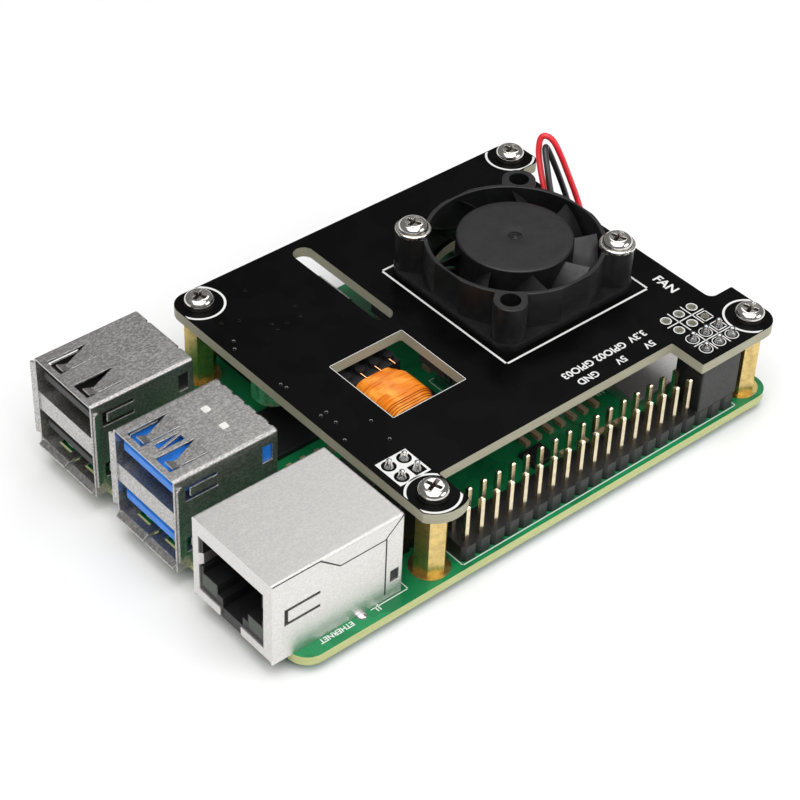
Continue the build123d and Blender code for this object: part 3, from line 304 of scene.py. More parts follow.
def solder():
    n = Nodes("solder")
    n.color(n.mix(n.noise(0.25, 3.0), (0.55, 0.56, 0.57), (0.80, 0.80, 0.80)))
    n.rough(n.spread(n.noise(0.3, 2.0), 0.3, 0.7, 0.12, 0.30))
    n.bump(n.noise(0.2, 2.0), 0.012, 0.5)
    return n.set(Metallic=1.0).material


def amber_tape():
    """Glossy amber film over a winding, with fine stretch lines that run round it."""
    n = Nodes("amber_tape")
    lines = n.noise(0.14, 3.0, 0.6, (40, 1, 40))
    patches = n.noise(2.2, 2.0)
    film = n.mix(n.spread(lines, 0.40, 0.60), (0.60, 0.13, 0.004), (0.92, 0.27, 0.012))
    n.color(n.mix(n.spread(patches, 0.45, 0.70), film, (0.96, 0.38, 0.05)))
    n.rough(n.spread(lines, 0.3, 0.7, 0.16, 0.34))
    n.bump(lines, 0.03, 0.8)
    return n.set(Coat_Weight=0.25, Coat_Roughness=0.12, Specular_IOR_Level=0.3).material


def tape_edge():
    """The cut edges of the film, where the layers step down: dark amber."""
    n = Nodes("tape_edge")
    n.color(n.mix(n.noise(0.4, 3.0), (0.20, 0.045, 0.004), (0.42, 0.13, 0.015)))
    return n.set(Roughness=0.4).material


def via_rim():
    """Painted highlight: grey for the glint on the raised rim of a small via under black mask."""
    n = Nodes("via_rim")
    n.color(n.mix(n.noise(0.2, 2.0), (0.16, 0.16, 0.165), (0.34, 0.34, 0.34)))
    return n.set(Roughness=0.4).material


def chip_epoxy():
    n = Nodes("chip")
    n.color(n.mix(n.noise(0.08, 3.0), (0.008, 0.008, 0.009), (0.018, 0.018, 0.020)))
    n.rough(n.spread(n.noise(0.3), 0.3, 0.7, 0.40, 0.55))
    n.bump(n.noise(0.06, 2.0), 0.006, 0.6)
    return n.material


def insulation(name, color):
    """Soft extruded lead insulation with a faint skin texture."""
    n = Nodes(name)
    lighter = tuple(min(1.0, c * 1.3 + 0.01) for c in color)
    n.color(n.mix(n.noise(0.9, 2.0), color, lighter))
    n.bump(n.noise(0.12, 2.0), 0.006, 0.4)
    return n.set(Roughness=0.34, Subsurface_Weight=0.05, Subsurface_Radius=(0.001, 0.0005, 0.0005)).material


def copper_wire():
    n = Nodes("copper_wire")
    n.color(n.mix(n.noise(0.3), (0.62, 0.25, 0.10), (0.86, 0.42, 0.18)))
    n.rough(n.spread(n.noise(0.1), 0.3, 0.7, 0.18, 0.32))
    return n.set(Metallic=1.0, Coat_Weight=0.5).material


def tinted_clear(name, color):
    n = Nodes(name)
    n.color(n.mix(n.noise(0.4), color, tuple(c * 0.8 for c in color)))
    return n.set(Roughness=0.18, Transmission_Weight=0.35, IOR=1.5).material


def ceramic():
    n = Nodes("ceramic")
    n.color(n.mix(n.noise(0.12), (0.36, 0.25, 0.15), (0.50, 0.38, 0.24)))
    return n.set(Roughness=0.45).material


def ferrite():
    n = Nodes("ferrite")
    n.color(n.mix(n.noise(0.15, 3.0), (0.03, 0.03, 0.032), (0.075, 0.075, 0.08)))
    n.bump(n.noise(0.1, 3.0), 0.01, 0.7)
    return n.set(Roughness=0.55).material


LOOKS = {
    "green_board": green_board(),
    "black_board": black_board(),
    "black_plastic": moulded("black_plastic", (0.008, 0.008, 0.0085), 0.42),
    "fan_plastic": moulded("fan_plastic", (0.0048, 0.0049, 0.0051), 0.42, 0.18, 0.014),
    "blue_plastic": moulded("blue_plastic", (0.018, 0.20, 0.72), 0.34, 0.12, 0.004),
    "cream_plastic": moulded("cream_plastic", (0.62, 0.58, 0.47), 0.45),
    "white_plastic": moulded("white_plastic", (0.66, 0.65, 0.60), 0.42),
    "shell_steel": sheet_metal("shell_steel", (0.70, 0.685, 0.665), 0.35, 0.26, 0.42, 0.0045),
    "satin_steel": sheet_metal("satin_steel", (0.82, 0.80, 0.78), 0.43, 0.26, 0.14, 0.002),
    "gold": machined("gold", (0.86, 0.74, 0.52), 0.20, 0.06, (1, 1, 14)),
    "brass": machined("brass", (0.78, 0.58, 0.23), 0.30, 0.07, (1, 1, 10), 0.006, 0.30),
    "nickel": screw_nickel(),
    "chip": chip_epoxy(),
    "substrate": moulded("substrate", (0.012, 0.09, 0.045), 0.35),
    "ceramic": ceramic(),
    "ferrite": ferrite(),
    "amber_tape": amber_tape(),
    "copper": copper_wire(),
    "silicon_steel": machined("silicon_steel", (0.35, 0.35, 0.36), 0.35, 0.05, (12, 12, 1)),
    "bronze": machined("bronze", (0.55, 0.38, 0.18), 0.4, 0.08, (1, 1, 1)),
    "aluminium_can": machined("aluminium_can", (0.80, 0.80, 0.81), 0.24, 0.05, (12, 12, 1)),
    "light_pipe": tinted_clear("light_pipe", (0.030, 0.055, 0.022)),
    "led": tinted_clear("led", (0.75, 0.75, 0.62)),
    "red_insulation": insulation("red_insulation", (0.70, 0.018, 0.028)),
    "black_insulation": insulation("black_insulation", (0.016, 0.016, 0.018)),
    "tape_edge": tape_edge(),
    "via_rim": via_rim(),
    "white_ink": printed_ink(),
    "solder": solder(),
}
SLOT_OF = {row["node"]: row["material_slot"] for row in frame["record"]["subparts"]}


def dress_cad_nodes():
    """Give every CAD node the material of its record slot."""
    for name, obj in frame["nodes"].items():
        obj.data.materials.clear()
        obj.data.materials.append(LOOKS[SLOT_OF[name]])


# ---------------------------------------------------------------- mesh helpers
def finish_piece(name, mesh, look, body="board", smooth=40):
    """Turn a bmesh or mesh into a named piece that rides on a body."""
    if isinstance(mesh, bmesh.types.BMesh):
        data = bpy.data.meshes.new(name)
        bmesh.ops.recalc_face_normals(mesh, faces=mesh.faces)
        mesh.to_mesh(data)
        mesh.free()
    else:
        data = mesh
        data.name = name
    obj = bpy.data.objects.new(name, data)
    bpy.context.scene.collection.objects.link(obj)
    data.materials.clear()
    data.materials.append(LOOKS[look])
    if smooth:
        data.shade_smooth()
        data.set_sharp_from_angle(angle=math.radians(smooth))
    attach(obj, body)
    return obj


def extrude_outline(bm, points, z0, z1):
    """A closed prism from an outline of (x, y) layout points."""
    low = [bm.verts.new(at(x, y, z0)) for x, y in points]
    high = [bm.verts.new(at(x, y, z1)) for x, y in points]
    count = len(points)
    bm.faces.new(list(reversed(low)))
    bm.faces.new(high)
    for i in range(count):
        j = (i + 1) % count
        bm.faces.new((low[i], low[j], high[j], high[i]))


def ring_band(bm, x, y, outer, inner, z0, z1, start=0.0, end=360.0, steps=64):
    """A flat ring or part of one, with thickness. Angles are in degrees from +x."""
    full = abs(end - start) >= 359.9
    count = steps if full else steps + 1
    loops = []
    for radius, z in ((inner, z0), (outer, z0), (outer, z1), (inner, z1)):
        loop = []
        for i in range(count):
            turn = math.radians(start + (end - start) * i / steps)
            loop.append(bm.verts.new(at(x + radius * math.cos(turn), y + radius * math.sin(turn), z)))
        loops.append(loop)
    for i in range(steps):
        j = (i + 1) % count
        for a, b in ((0, 1), (1, 2), (2, 3), (3, 0)):
            bm.faces.new((loops[a][i], loops[b][i], loops[b][j], loops[a][j]))
    if not full:
        bm.faces.new([loop[0] for loop in loops])
        bm.faces.new([loop[-1] for loop in reversed(loops)])


def bar(bm, xa, ya, xb, yb, width, z0, z1):
    """A straight printed line between two layout points."""
    along = Vector((xb - xa, yb - ya)).normalized()
    side = Vector((-along.y, along.x)) * width / 2
    cap = along * width / 2
    corners = [(xa - cap.x + side.x, ya - cap.y + side.y), (xa - cap.x - side.x, ya - cap.y - side.y),
               (xb + cap.x - side.x, yb + cap.y - side.y), (xb + cap.x + side.x, yb + cap.y + side.y)]
    extrude_outline(bm, corners, z0, z1)


def path_bars(bm, points, width, z0, z1):
    for (xa, ya), (xb, yb) in zip(points, points[1:]):
        bar(bm, xa, ya, xb, yb, width, z0, z1)


def box_loop(x0, x1, y0, y1):
    return [(x0, y0), (x1, y0), (x1, y1), (x0, y1), (x0, y0)]


def revolve(bm, x, y, profile, steps=24):
    """A turned shape from (radius, z) points; a zero radius closes to a point."""
    loops = []
    for radius, z in profile:
        if radius <= 0:
            loops.append([bm.verts.new(at(x, y, z))])
            continue
        loop = []
        for i in range(steps):
            turn = 2 * math.pi * i / steps
            loop.append(bm.verts.new(at(x + radius * math.cos(turn), y + radius * math.sin(turn), z)))
        loops.append(loop)
    for a, b in zip(loops, loops[1:]):
        for i in range(steps):
            j = (i + 1) % steps
            if len(a) == 1:
                bm.faces.new((a[0], b[j], b[i]))
            elif len(b) == 1:
                bm.faces.new((a[i], a[j], b[0]))
            else:
                bm.faces.new((a[i], a[j], b[j], b[i]))


def print_text(words, x, y, z, height, turn):
    """Letters as thin raised ink. (x, y) is the middle of the word, turn is in degrees from +x."""
    curve = bpy.data.curves.new("letters", "FONT")
    curve.body = words
    curve.size = height * MM * 1.4
    curve.extrude = SILK_T * MM / 2
    curve.offset = height * MM * 0.032
    curve.align_x = "CENTER"
    curve.align_y = "CENTER"
    obj = bpy.data.objects.new("letters", curve)
    bpy.context.scene.collection.objects.link(obj)
    place = Matrix.Translation(at(x, y, z + SILK_T / 2)) @ Matrix.Rotation(math.radians(turn), 4, "Z")
    mesh = bpy.data.meshes.new_from_object(obj.evaluated_get(bpy.context.evaluated_depsgraph_get()))
    mesh.transform(place)
    bpy.data.objects.remove(obj)
    bpy.data.curves.remove(curve)
    return mesh


def join_meshes(bm, meshes):
    for mesh in meshes:
        bm.from_mesh(mesh)
        bpy.data.meshes.remove(mesh)


# ---------------------------------------------------------------- printing on the fan board
DECK_MARGIN = 0.12           # ink keeps this far from the fan board's edge
CORNER_R = 3.0
DECK_SIDES = (0.6, 64.9, 0.4, 56.0)
TAB_ARC = (60.93, 51.68, 4.87)      # the rounded tab at the near corner: centre and radius
TAB_X = 58.5
RECESS_Y = 50.1
NOTCH_X, NOTCH_Y = 4.8, (7.2, 46.4)
RING_INNER, RING_OUTER = 3.4, 3.74     # printed rings round the screws
FAN_OUTLINE = (10.24, 37.0, 13.4, 39.4)
WINDOW_RIM = (43.42, 56.08, 25.17, 38.38)
GRID_LINE_W = 0.18
GRID_OVERRUN = 0.9           # the lines between the joints run this far past the outer pins


def on_deck(x, y):
    """True where ink can be printed on the fan board near one of its corners."""
    x0, x1, y0, y1 = DECK_SIDES
    across = max(x0 + CORNER_R - x, x - x1 + CORNER_R, 0.0)
    along = max(y0 + CORNER_R - y, y - y1 + CORNER_R, 0.0)
    if y > RECESS_Y and x > TAB_X - 4.0:
        arc_x, arc_y, arc_r = TAB_ARC
        in_tab = x > TAB_X + DECK_MARGIN and x < x1 - DECK_MARGIN
        return in_tab and (y < arc_y or math.hypot(x - arc_x, y - arc_y) < arc_r - DECK_MARGIN)
    if x < NOTCH_X + DECK_MARGIN and NOTCH_Y[0] - DECK_MARGIN < y < NOTCH_Y[1] + DECK_MARGIN:
        return False
    return math.hypot(across, along) < CORNER_R - DECK_MARGIN


def screw_ring(bm, x, y, z0, z1):
    """The ring round a screw, cut off where the fan board ends."""
    steps = 180
    depth = 6
    for i in range(steps):
        turns = [2 * math.pi * (i + k) / steps for k in (0, 1)]
        reach = RING_INNER
        for k in range(1, depth + 1):
            trial = RING_INNER + (RING_OUTER - RING_INNER) * k / depth
            if all(on_deck(x + trial * math.cos(t), y + trial * math.sin(t)) for t in turns):
                reach = trial
            else:
                break
        if reach > RING_INNER:
            corners = [(x + r * math.cos(t), y + r * math.sin(t))
                       for r, t in ((RING_INNER, turns[0]), (reach, turns[0]), (reach, turns[1]),
                                    (RING_INNER, turns[1]))]
            extrude_outline(bm, corners, z0, z1)


def deck_print():
    """White ink on the fan board: rings, boxes, pin circles, grid lines and generic words."""
    z0, z1 = DECK_TOP, DECK_TOP + SILK_T
    bm = bmesh.new()
    for x, y in HOLES:
        screw_ring(bm, x, y, z0, z1)
    path_bars(bm, box_loop(*FAN_OUTLINE), 0.32, z0, z1)
    path_bars(bm, box_loop(*WINDOW_RIM), 0.09, z0, z1)
    square = 0.85
    for x, y in STACK_PINS[1:]:
        ring_band(bm, x, y, 1.0, 0.87, z0, z1, steps=40)
    for x, y in SPARE_HOLES[:1] + SPARE_HOLES[2:]:
        ring_band(bm, x, y, 0.82, 0.66, z0, z1, steps=40)
    for x, y in (STACK_PINS[0], SPARE_HOLES[1]):
        path_bars(bm, box_loop(x - square, x + square, y - square, y + square), 0.16, z0, z1)
    for block_y in (GPIO_Y, GPIO_Y - 2 * PITCH):
        mid = block_y + PITCH / 2
        bar(bm, GPIO_X - GRID_OVERRUN, mid, GPIO_X + 2 * PITCH + GRID_OVERRUN, mid, GRID_LINE_W, z0, z1)
        for i in (0.5, 1.5):
            x = GPIO_X + i * PITCH
            bar(bm, x, block_y - GRID_OVERRUN, x, block_y + PITCH + GRID_OVERRUN, GRID_LINE_W, z0, z1)
    power_box_print(bm, z0, z1)
    words = [("FAN", 7.6, 40.3, 1.55, 90), ("5V", 18.9, 48.3, 1.15, 0), ("5V", 24.3, 48.3, 1.15, 0),
             ("GND", 30.4, 48.25, 1.15, 0), ("3.3V", 19.0, 46.0, 1.2, 0), ("GPIO02", 24.2, 46.1, 1.2, 0),
             ("GPIO03", 30.3, 46.1, 1.2, 0)]
    join_meshes(bm, [print_text(w, x, y, DECK_TOP, h, turn) for w, x, y, h, turn in words])
    return finish_piece("fan_board_print", bm, "white_ink", smooth=0)


def power_box_print(bm, z0, z1):
    """A filled white square with round openings for the four joints; one opening is square."""
    cell = PITCH / 2
    opening = 1.02
    for i, (x, y) in enumerate(POWER_PINS):
        for quarter in range(4):
            start = 90 * quarter - 45
            edge = []
            hole = []
            for k in range(13):
                turn = math.radians(start + 90 * k / 12)
                c, q = math.cos(turn), math.sin(turn)
                flat = 1 / max(abs(c), abs(q))
                near = flat * opening * 0.93 if i == 1 else opening
                edge.append((x + cell * flat * c, y + cell * flat * q))
                hole.append((x + near * c, y + near * q))
            for k in range(12):
                extrude_outline(bm, [hole[k], edge[k], edge[k + 1], hole[k + 1]], z0, z1)


def deck_pads():
    """Tinned rings of the unused holes."""
    bm = bmesh.new()
    for x, y in SPARE_HOLES:
        ring_band(bm, x, y, 0.60, 0.5, DECK_TOP, DECK_TOP + 0.03, steps=32)
    return finish_piece("fan_board_pads", bm, "solder")


BRIGHT_VIAS = [(62.8, 13.0), (63.7, 14.4), (63.4, 24.0), (63.2, 25.0), (63.2, 32.2), (62.2, 32.1),
               (62.5, 34.4), (63.8, 37.8), (58.7, 37.0), (59.1, 41.2)]
FAINT_VIAS = [(54.8, 5.0), (59.4, 9.9), (56.4, 13.1), (56.4, 14.5), (54.6, 14.2), (51.4, 12.0),
              (52.3, 14.2), (61.7, 8.8)]


def deck_vias():
    """Small filled vias: the bright ones get a painted highlight, a grey half ring on their lit side; the
    faint ones only show mask.
    """
    bm = bmesh.new()
    for x, y in BRIGHT_VIAS:
        # painted highlight: a grey half ring, from 125 to 325 degrees, on the lit side of each bright via
        ring_band(bm, x, y, 0.22, 0.13, DECK_TOP, DECK_TOP + 0.02, 125, 325, 20)
    finish_piece("fan_board_via_glints", bm, "via_rim")
    bm = bmesh.new()
    for x, y in FAINT_VIAS + BRIGHT_VIAS:
        ring_band(bm, x, y, 0.32, 0.12, DECK_TOP, DECK_TOP + 0.012, steps=20)
    return finish_piece("fan_board_vias", bm, "black_board")


# ---------------------------------------------------------------- solder and pads
def joint_profile(top, pad, tip, rise):
    """A concave solder cone from the pad up to the pin's tip."""
    steps = 8
    profile = [(0.0, top), (pad, top)]
    for i in range(1, steps + 1):
        t = i / steps
        profile.append((tip + (pad - tip) * (1 - t) ** 2.4, top + rise * t))
    profile.append((0.0, top + rise + 0.12 * (1 if rise > 0 else -1)))
    return profile


def deck_joints():
    rng = random.Random(3)
    bm = bmesh.new()
    for x, y in STACK_PINS + POWER_PINS:
        rise = rng.uniform(1.0, 1.25)
        revolve(bm, x, y, joint_profile(DECK_TOP, 0.66, 0.36, rise), 28)
    return finish_piece("fan_board_solder", bm, "solder")


def underside_joints():
    rng = random.Random(5)
    bm = bmesh.new()
    for x, y in GPIO_PINS + POWER_PINS:
        revolve(bm, x, y, joint_profile(BOARD_UNDER, 0.82, 0.38, -rng.uniform(0.95, 1.15)), 20)
    return finish_piece("main_board_solder", bm, "solder")


def hole_pads():
    """Bare gilded rings round the four mounting holes, on both faces of the main board."""
    bm = bmesh.new()
    for x, y in HOLES:
        ring_band(bm, x, y, HOLE_PAD_R, HOLE_R, 0.0, PAD_T)
        ring_band(bm, x, y, HOLE_PAD_R, HOLE_R, BOARD_UNDER - PAD_T, BOARD_UNDER)
    return finish_piece("hole_pads", bm, "brass")


def board_print():
    """White ink on the main board: header outline, port outlines and generic words."""
    z0, z1 = 0.0, SILK_T
    bm = bmesh.new()
    path_bars(bm, box_loop(6.9, 58.1, 49.7, 55.25), 0.16, z0, z1)
    path_bars(bm, [(66.4, 52.5), (66.4, 54.0), (72.5, 54.0)], 0.14, z0, z1)
    path_bars(bm, box_loop(21.3, 37.3, 24.6, 40.6), 0.14, z0, z1)
    path_bars(bm, box_loop(38.4, 49.4, 25.4, 40.6), 0.14, z0, z1)
    words = [("J1", 71.7, 54.3, 0.8, 0), ("ETHERNET", 78.35, 54.3, 0.8, 0), ("U1", 20.2, 41.4, 0.9, 0),
             ("U2", 51.0, 41.2, 0.9, 0)]
    words += [(str(i), GPIO_X + i * PITCH, 49.15, 0.7, 0) for i in range(4, 20, 4)]
    join_meshes(bm, [print_text(w, x, y, 0.0, h, turn) for w, x, y, h, turn in words])
    return finish_piece("main_board_print", bm, "white_ink", smooth=0)


# ---------------------------------------------------------------- connector details
LAN_SIDE_Y = 53.75
LAN_BACK_X, LAN_FRONT_X = 67.2, 88.1
LAN_TOP = 13.5
USB_TOP = 15.6
SEAM_W = 0.17
SEAM_T = 0.015


def wall_line(bm, path, y, width, thick):
    """A thin line on an upright wall, through (x, z) points. It stands out by thick."""
    for (xa, za), (xb, zb) in zip(path, path[1:]):
        along = Vector((xb - xa, zb - za)).normalized()
        side = Vector((-along.y, along.x)) * width / 2
        corners = [(xa + side.x, za + side.y), (xa - side.x, za - side.y),
                   (xb - side.x, zb - side.y), (xb + side.x, zb + side.y)]
        near = [bm.verts.new(at(x, y, z)) for x, z in corners]
        far = [bm.verts.new(at(x, y + thick, z)) for x, z in corners]
        bm.faces.new(near)
        bm.faces.new(list(reversed(far)))
        for i in range(4):
            j = (i + 1) % 4
            bm.faces.new((near[i], near[j], far[j], far[i]))


def jack_seam():
    """Painted shade: a thin black strip for the shade in the gap along the network jack's folded flap."""
    bm = bmesh.new()
    flap = [(LAN_FRONT_X - 0.15, LAN_TOP - 0.1), (80.7, LAN_TOP - 0.12), (77.5, 10.7), (70.3, 10.7),
            (LAN_BACK_X + 0.1, LAN_TOP - 0.1)]
    # painted shade: black strips on the jack's side wall where the seam's gap is in shade
    wall_line(bm, flap, LAN_SIDE_Y, SEAM_W, SEAM_T)
    wall_line(bm, [(70.1, 10.7), (70.1, 1.0)], LAN_SIDE_Y, SEAM_W * 1.3, SEAM_T)
    return finish_piece("jack_seam", bm, "chip")


def jack_solder():
    """The bright joint where the jack's tab goes through the board."""
    bm = bmesh.new()
    revolve(bm, 74.1, LAN_SIDE_Y + 0.25, [(0.0, 0.0), (0.78, 0.0), (0.74, 0.14), (0.56, 0.30), (0.3, 0.42),
                                          (0.0, 0.46)], 24)
    return finish_piece("jack_solder", bm, "solder")


def usb_dimples():
    """Two small square marks pressed up in the blue connector's top, with a painted highlight: they are
    coloured pale white for the light they catch.
    """
    bm = bmesh.new()
    half, corner = 0.55, 0.2
    for xc, yc in ((76.2, 24.8), (76.3, 28.8)):
        points = []
        for cx, cy, start in ((1, 1, 0), (-1, 1, 90), (-1, -1, 180), (1, -1, 270)):
            for i in range(5):
                turn = math.radians(start + 90 * i / 4)
                points.append((xc + cx * (half - corner) + corner * math.cos(turn),
                               yc + cy * (half - corner) + corner * math.sin(turn)))
        extrude_outline(bm, points, USB_TOP, USB_TOP + 0.05)
    # painted highlight: the marks get a pale white colour instead of the shell's steel
    return finish_piece("usb_dimples", bm, "white_plastic")


# ---------------------------------------------------------------- fan rotor
HUB_R = 8.25
BLADE_R = 11.65
BLADES = 9
BLADE_START = 29.3           # turn of a blade's high corner at the tip, in degrees
BLADE_SPAN = 24.0            # from the high edge clockwise to the low edge
BLADE_SWEEP = 5.0            # the high edge's hub end is this much behind its tip
BLADE_HIGH, BLADE_LOW = 19.15, 14.6
BLADE_T = 0.42
HUB_EDGE_R = 0.3
MARK_T = 0.02


def hub_mesh():
    """The hub: a flat cup with a tight rounded rim and a small ring round a pip at its centre."""
    top = (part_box("fan_rotor")[1].z - BOARD_HIGH.z) / MM - MARK_T
    low = (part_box("fan_rotor")[0].z - BOARD_HIGH.z) / MM
    pip = [(0.0, 0.06), (0.30, 0.08), (0.42, 0.22), (0.56, 0.24)]
    small_ring = [(0.62, 0.10), (0.74, 0.10), (0.80, 0.20), (0.90, 0.20), (0.98, 0.02)]
    face = [(1.10, 0.0), (3.0, 0.0), (5.2, 0.0), (7.0, 0.0)]
    profile = [(radius, top - drop) for radius, drop in pip + small_ring + face]
    for i in range(7):
        turn = math.radians(90 * i / 6)
        rim = HUB_R - HUB_EDGE_R
        profile.append((rim + HUB_EDGE_R * math.sin(turn), top - HUB_EDGE_R + HUB_EDGE_R * math.cos(turn)))
    profile += [(HUB_R, low + 0.1), (HUB_R - 0.1, low), (HUB_R - 0.9, low), (HUB_R - 1.0, low + 0.1),
                (HUB_R - 1.0, top - 1.2), (0.0, top - 1.2)]
    bm = bmesh.new()
    revolve(bm, FAN_X, FAN_Y, profile, 128)
    # a faint circular mould mark on the face
    ring_band(bm, FAN_X - 5.9, FAN_Y + 0.7, 1.36, 1.24, top - 0.05, top + MARK_T)
    return finish_piece("fan_hub", bm, "fan_plastic", body="rotor")


def blade_surface(across, along):
    """Middle surface of a blade. across runs 0..1 from hub to tip, along 0..1 from high edge to low edge."""
    radius = HUB_R - 0.2 + (BLADE_R - HUB_R + 0.2) * across
    turn = math.radians(BLADE_START - BLADE_SWEEP * (1 - across) - BLADE_SPAN * along)
    belly = 0.35 * math.sin(math.pi * along)
    z = BLADE_HIGH - (BLADE_HIGH - BLADE_LOW) * along + belly
    return radius, turn, z


def blades_mesh():
    """Nine thin blades. Each falls clockwise from its high edge, with both edges rounded thinner."""
    spans, chords = 10, 16
    bm = bmesh.new()
    for k in range(BLADES):
        base = 2 * math.pi * k / BLADES
        sides = []
        for face in (1, -1):
            rows = []
            for i in range(spans + 1):
                row = []
                for j in range(chords + 1):
                    t = j / chords
                    radius, turn, z = blade_surface(i / spans, t)
                    half = BLADE_T / 2 * (0.35 + 0.65 * max(0.0, math.sin(math.pi * t)) ** 0.6)
                    x = FAN_X + radius * math.cos(base + turn)
                    y = FAN_Y + radius * math.sin(base + turn)
                    row.append(bm.verts.new(at(x, y, z + face * half)))
                rows.append(row)
            sides.append(rows)
        for i in range(spans):
            for j in range(chords):
                for rows in sides:
                    bm.faces.new((rows[i][j], rows[i + 1][j], rows[i + 1][j + 1], rows[i][j + 1]))
        rim = [(i, 0) for i in range(spans + 1)] + [(spans, j) for j in range(1, chords + 1)]
        rim += [(i, chords) for i in range(spans - 1, -1, -1)] + [(0, j) for j in range(chords - 1, 0, -1)]
        up, down = sides
        for (ia, ja), (ib, jb) in zip(rim, rim[1:] + rim[:1]):
            bm.faces.new((up[ia][ja], up[ib][jb], down[ib][jb], down[ia][ja]))
    return finish_piece("fan_blades", bm, "fan_plastic", body="rotor", smooth=50)


# ---------------------------------------------------------------- transformer winding
TAPE_LAYERS = 7
TAPE_T = 0.13
TAPE_CORNER = 2.2            # radius of the outermost wrap's corners
TAPE_STEPS = (0.42, 0.38)    # each wrap is this much narrower than the one under it, at its two ends
POST_X, POST_PITCH, POSTS = 46.0, 2.5, 4
WIRE_R = 0.11
WIRE_SIDES = 8


def tape_profile(box, inset, corner, steps=6):
    """A rounded rectangle round the winding's axis, as (x, z) points."""
    x0, x1, z0, z1 = box[0] + inset, box[1] - inset, box[2] + inset, box[3] - inset
    points = []
    for cx, cz, start in ((x1, z1, 0), (x0, z1, 90), (x0, z0, 180), (x1, z0, 270)):
        cx += -corner if cx == x1 else corner
        cz += -corner if cz == z1 else corner
        for i in range(steps + 1):
            turn = math.radians(start + 90 * i / steps)
            points.append((cx + corner * math.cos(turn), cz + corner * math.sin(turn)))
    return points


def tape_layer(bm, points, y0, y1, closed=True):
    """One wrap of film between two y positions, as a wall TAPE_T thick."""
    count = len(points)
    mid_x = sum(x for x, z in points) / count
    mid_z = sum(z for x, z in points) / count
    loops = []
    for scale, y in ((1, y0), (1, y1), (0, y1), (0, y0)):
        loop = []
        for x, z in points:
            away = Vector((x - mid_x, z - mid_z)).normalized() * (0 if scale else 1.6 * TAPE_T)
            loop.append(bm.verts.new(at(x - away.x, y, z - away.y)))
        loops.append(loop)
    for i in range(count if closed else count - 1):
        j = (i + 1) % count
        for a, b in ((0, 1), (1, 2), (2, 3), (3, 0)):
            bm.faces.new((loops[a][i], loops[a][j], loops[b][j], loops[b][i]))
    if not closed:
        bm.faces.new([loop[0] for loop in loops])
        bm.faces.new([loop[-1] for loop in reversed(loops)])


def winding_mesh():
    """The winding: wraps of amber film, each outer one narrower, and a last wrap that ends on top."""
    low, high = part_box("transformer_winding")
    x0, x1 = (low.x - BOARD_LOW.x) / MM, (high.x - BOARD_LOW.x) / MM
    y0, y1 = (low.y - BOARD_LOW.y) / MM, (high.y - BOARD_LOW.y) / MM
    z0, z1 = (low.z - BOARD_HIGH.z) / MM, (high.z - BOARD_HIGH.z) / MM
    rng = random.Random(11)
    bm = bmesh.new()
    edges = bmesh.new()
    for k in range(TAPE_LAYERS):
        inset = (TAPE_LAYERS - k) * TAPE_T
        left = y0 + TAPE_STEPS[0] * k + rng.uniform(-0.1, 0.1) * (k > 0)
        right = y1 - TAPE_STEPS[1] * k + rng.uniform(-0.1, 0.1) * (k > 0)
        corner = TAPE_CORNER - inset / 2
        tape_layer(bm, tape_profile((x0, x1, z0, z1), inset, corner), left, right)
        # a thin dark line that shows past each end of the wrap
        line = tape_profile((x0, x1, z0, z1), inset + 0.03, corner)
        for y in (left, right):
            tape_layer(edges, line, y - 0.05, y + 0.05)
    # the last wrap is only on the outer side, from low on the wall to the middle of the top
    last = tape_profile((x0, x1, z0, z1), 0.0, TAPE_CORNER)
    arc = [p for p in last if p[1] > z0 + 1.0]
    arc = sorted([p for p in arc if p[0] > (x0 + x1) / 2], key=lambda p: p[1])
    arc.append(((x0 + x1) / 2 - 0.4, z1))
    tape_layer(bm, arc, y0 + 3.2, y1 - 2.9, closed=False)
    finish_piece("winding_edges", edges, "tape_edge")
    return finish_piece("winding_tape", bm, "amber_tape", smooth=30)


def winding_wires():
    """Fine copper ends from the terminal posts into the winding."""
    low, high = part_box("transformer_winding")
    bm = bmesh.new()
    y0, y1 = (low.y - BOARD_LOW.y) / MM, (high.y - BOARD_LOW.y) / MM
    for i in range(POSTS):
        x = POST_X + i * POST_PITCH
        for post, coil in ((y0 - 1.5, y0 + 0.2), (y1 + 1.5, y1 - 0.2)):
            ends = (Vector((x + 0.5, post, 9.75)), Vector((x + 0.1, coil, 9.35)))
            along = (ends[1] - ends[0]).normalized()
            side = along.cross(Vector((0, 0, 1))).normalized()
            up = side.cross(along)
            loops = []
            for end in ends:
                turns = [2 * math.pi * k / WIRE_SIDES for k in range(WIRE_SIDES)]
                ring = [end + WIRE_R * (math.cos(turn) * side + math.sin(turn) * up) for turn in turns]
                loops.append([bm.verts.new(at(*p)) for p in ring])
            for k in range(WIRE_SIDES):
                j = (k + 1) % WIRE_SIDES
                bm.faces.new((loops[0][k], loops[0][j], loops[1][j], loops[1][k]))
            bm.faces.new(loops[0])
            bm.faces.new(list(reversed(loops[1])))
    return finish_piece("winding_wires", bm, "copper")


# ---------------------------------------------------------------- leads
EXIT_TURN = 204.0
EXIT_Z = 14.5


def at_exit(radius, offset):
    """A point on the leads' way out of the fan, as in the CAD."""
    turn = math.radians(EXIT_TURN)
    x = FAN_X + radius * math.cos(turn) - offset * math.sin(turn)
    y = FAN_Y + radius * math.sin(turn) + offset * math.cos(turn)
    return (x, y, EXIT_Z)


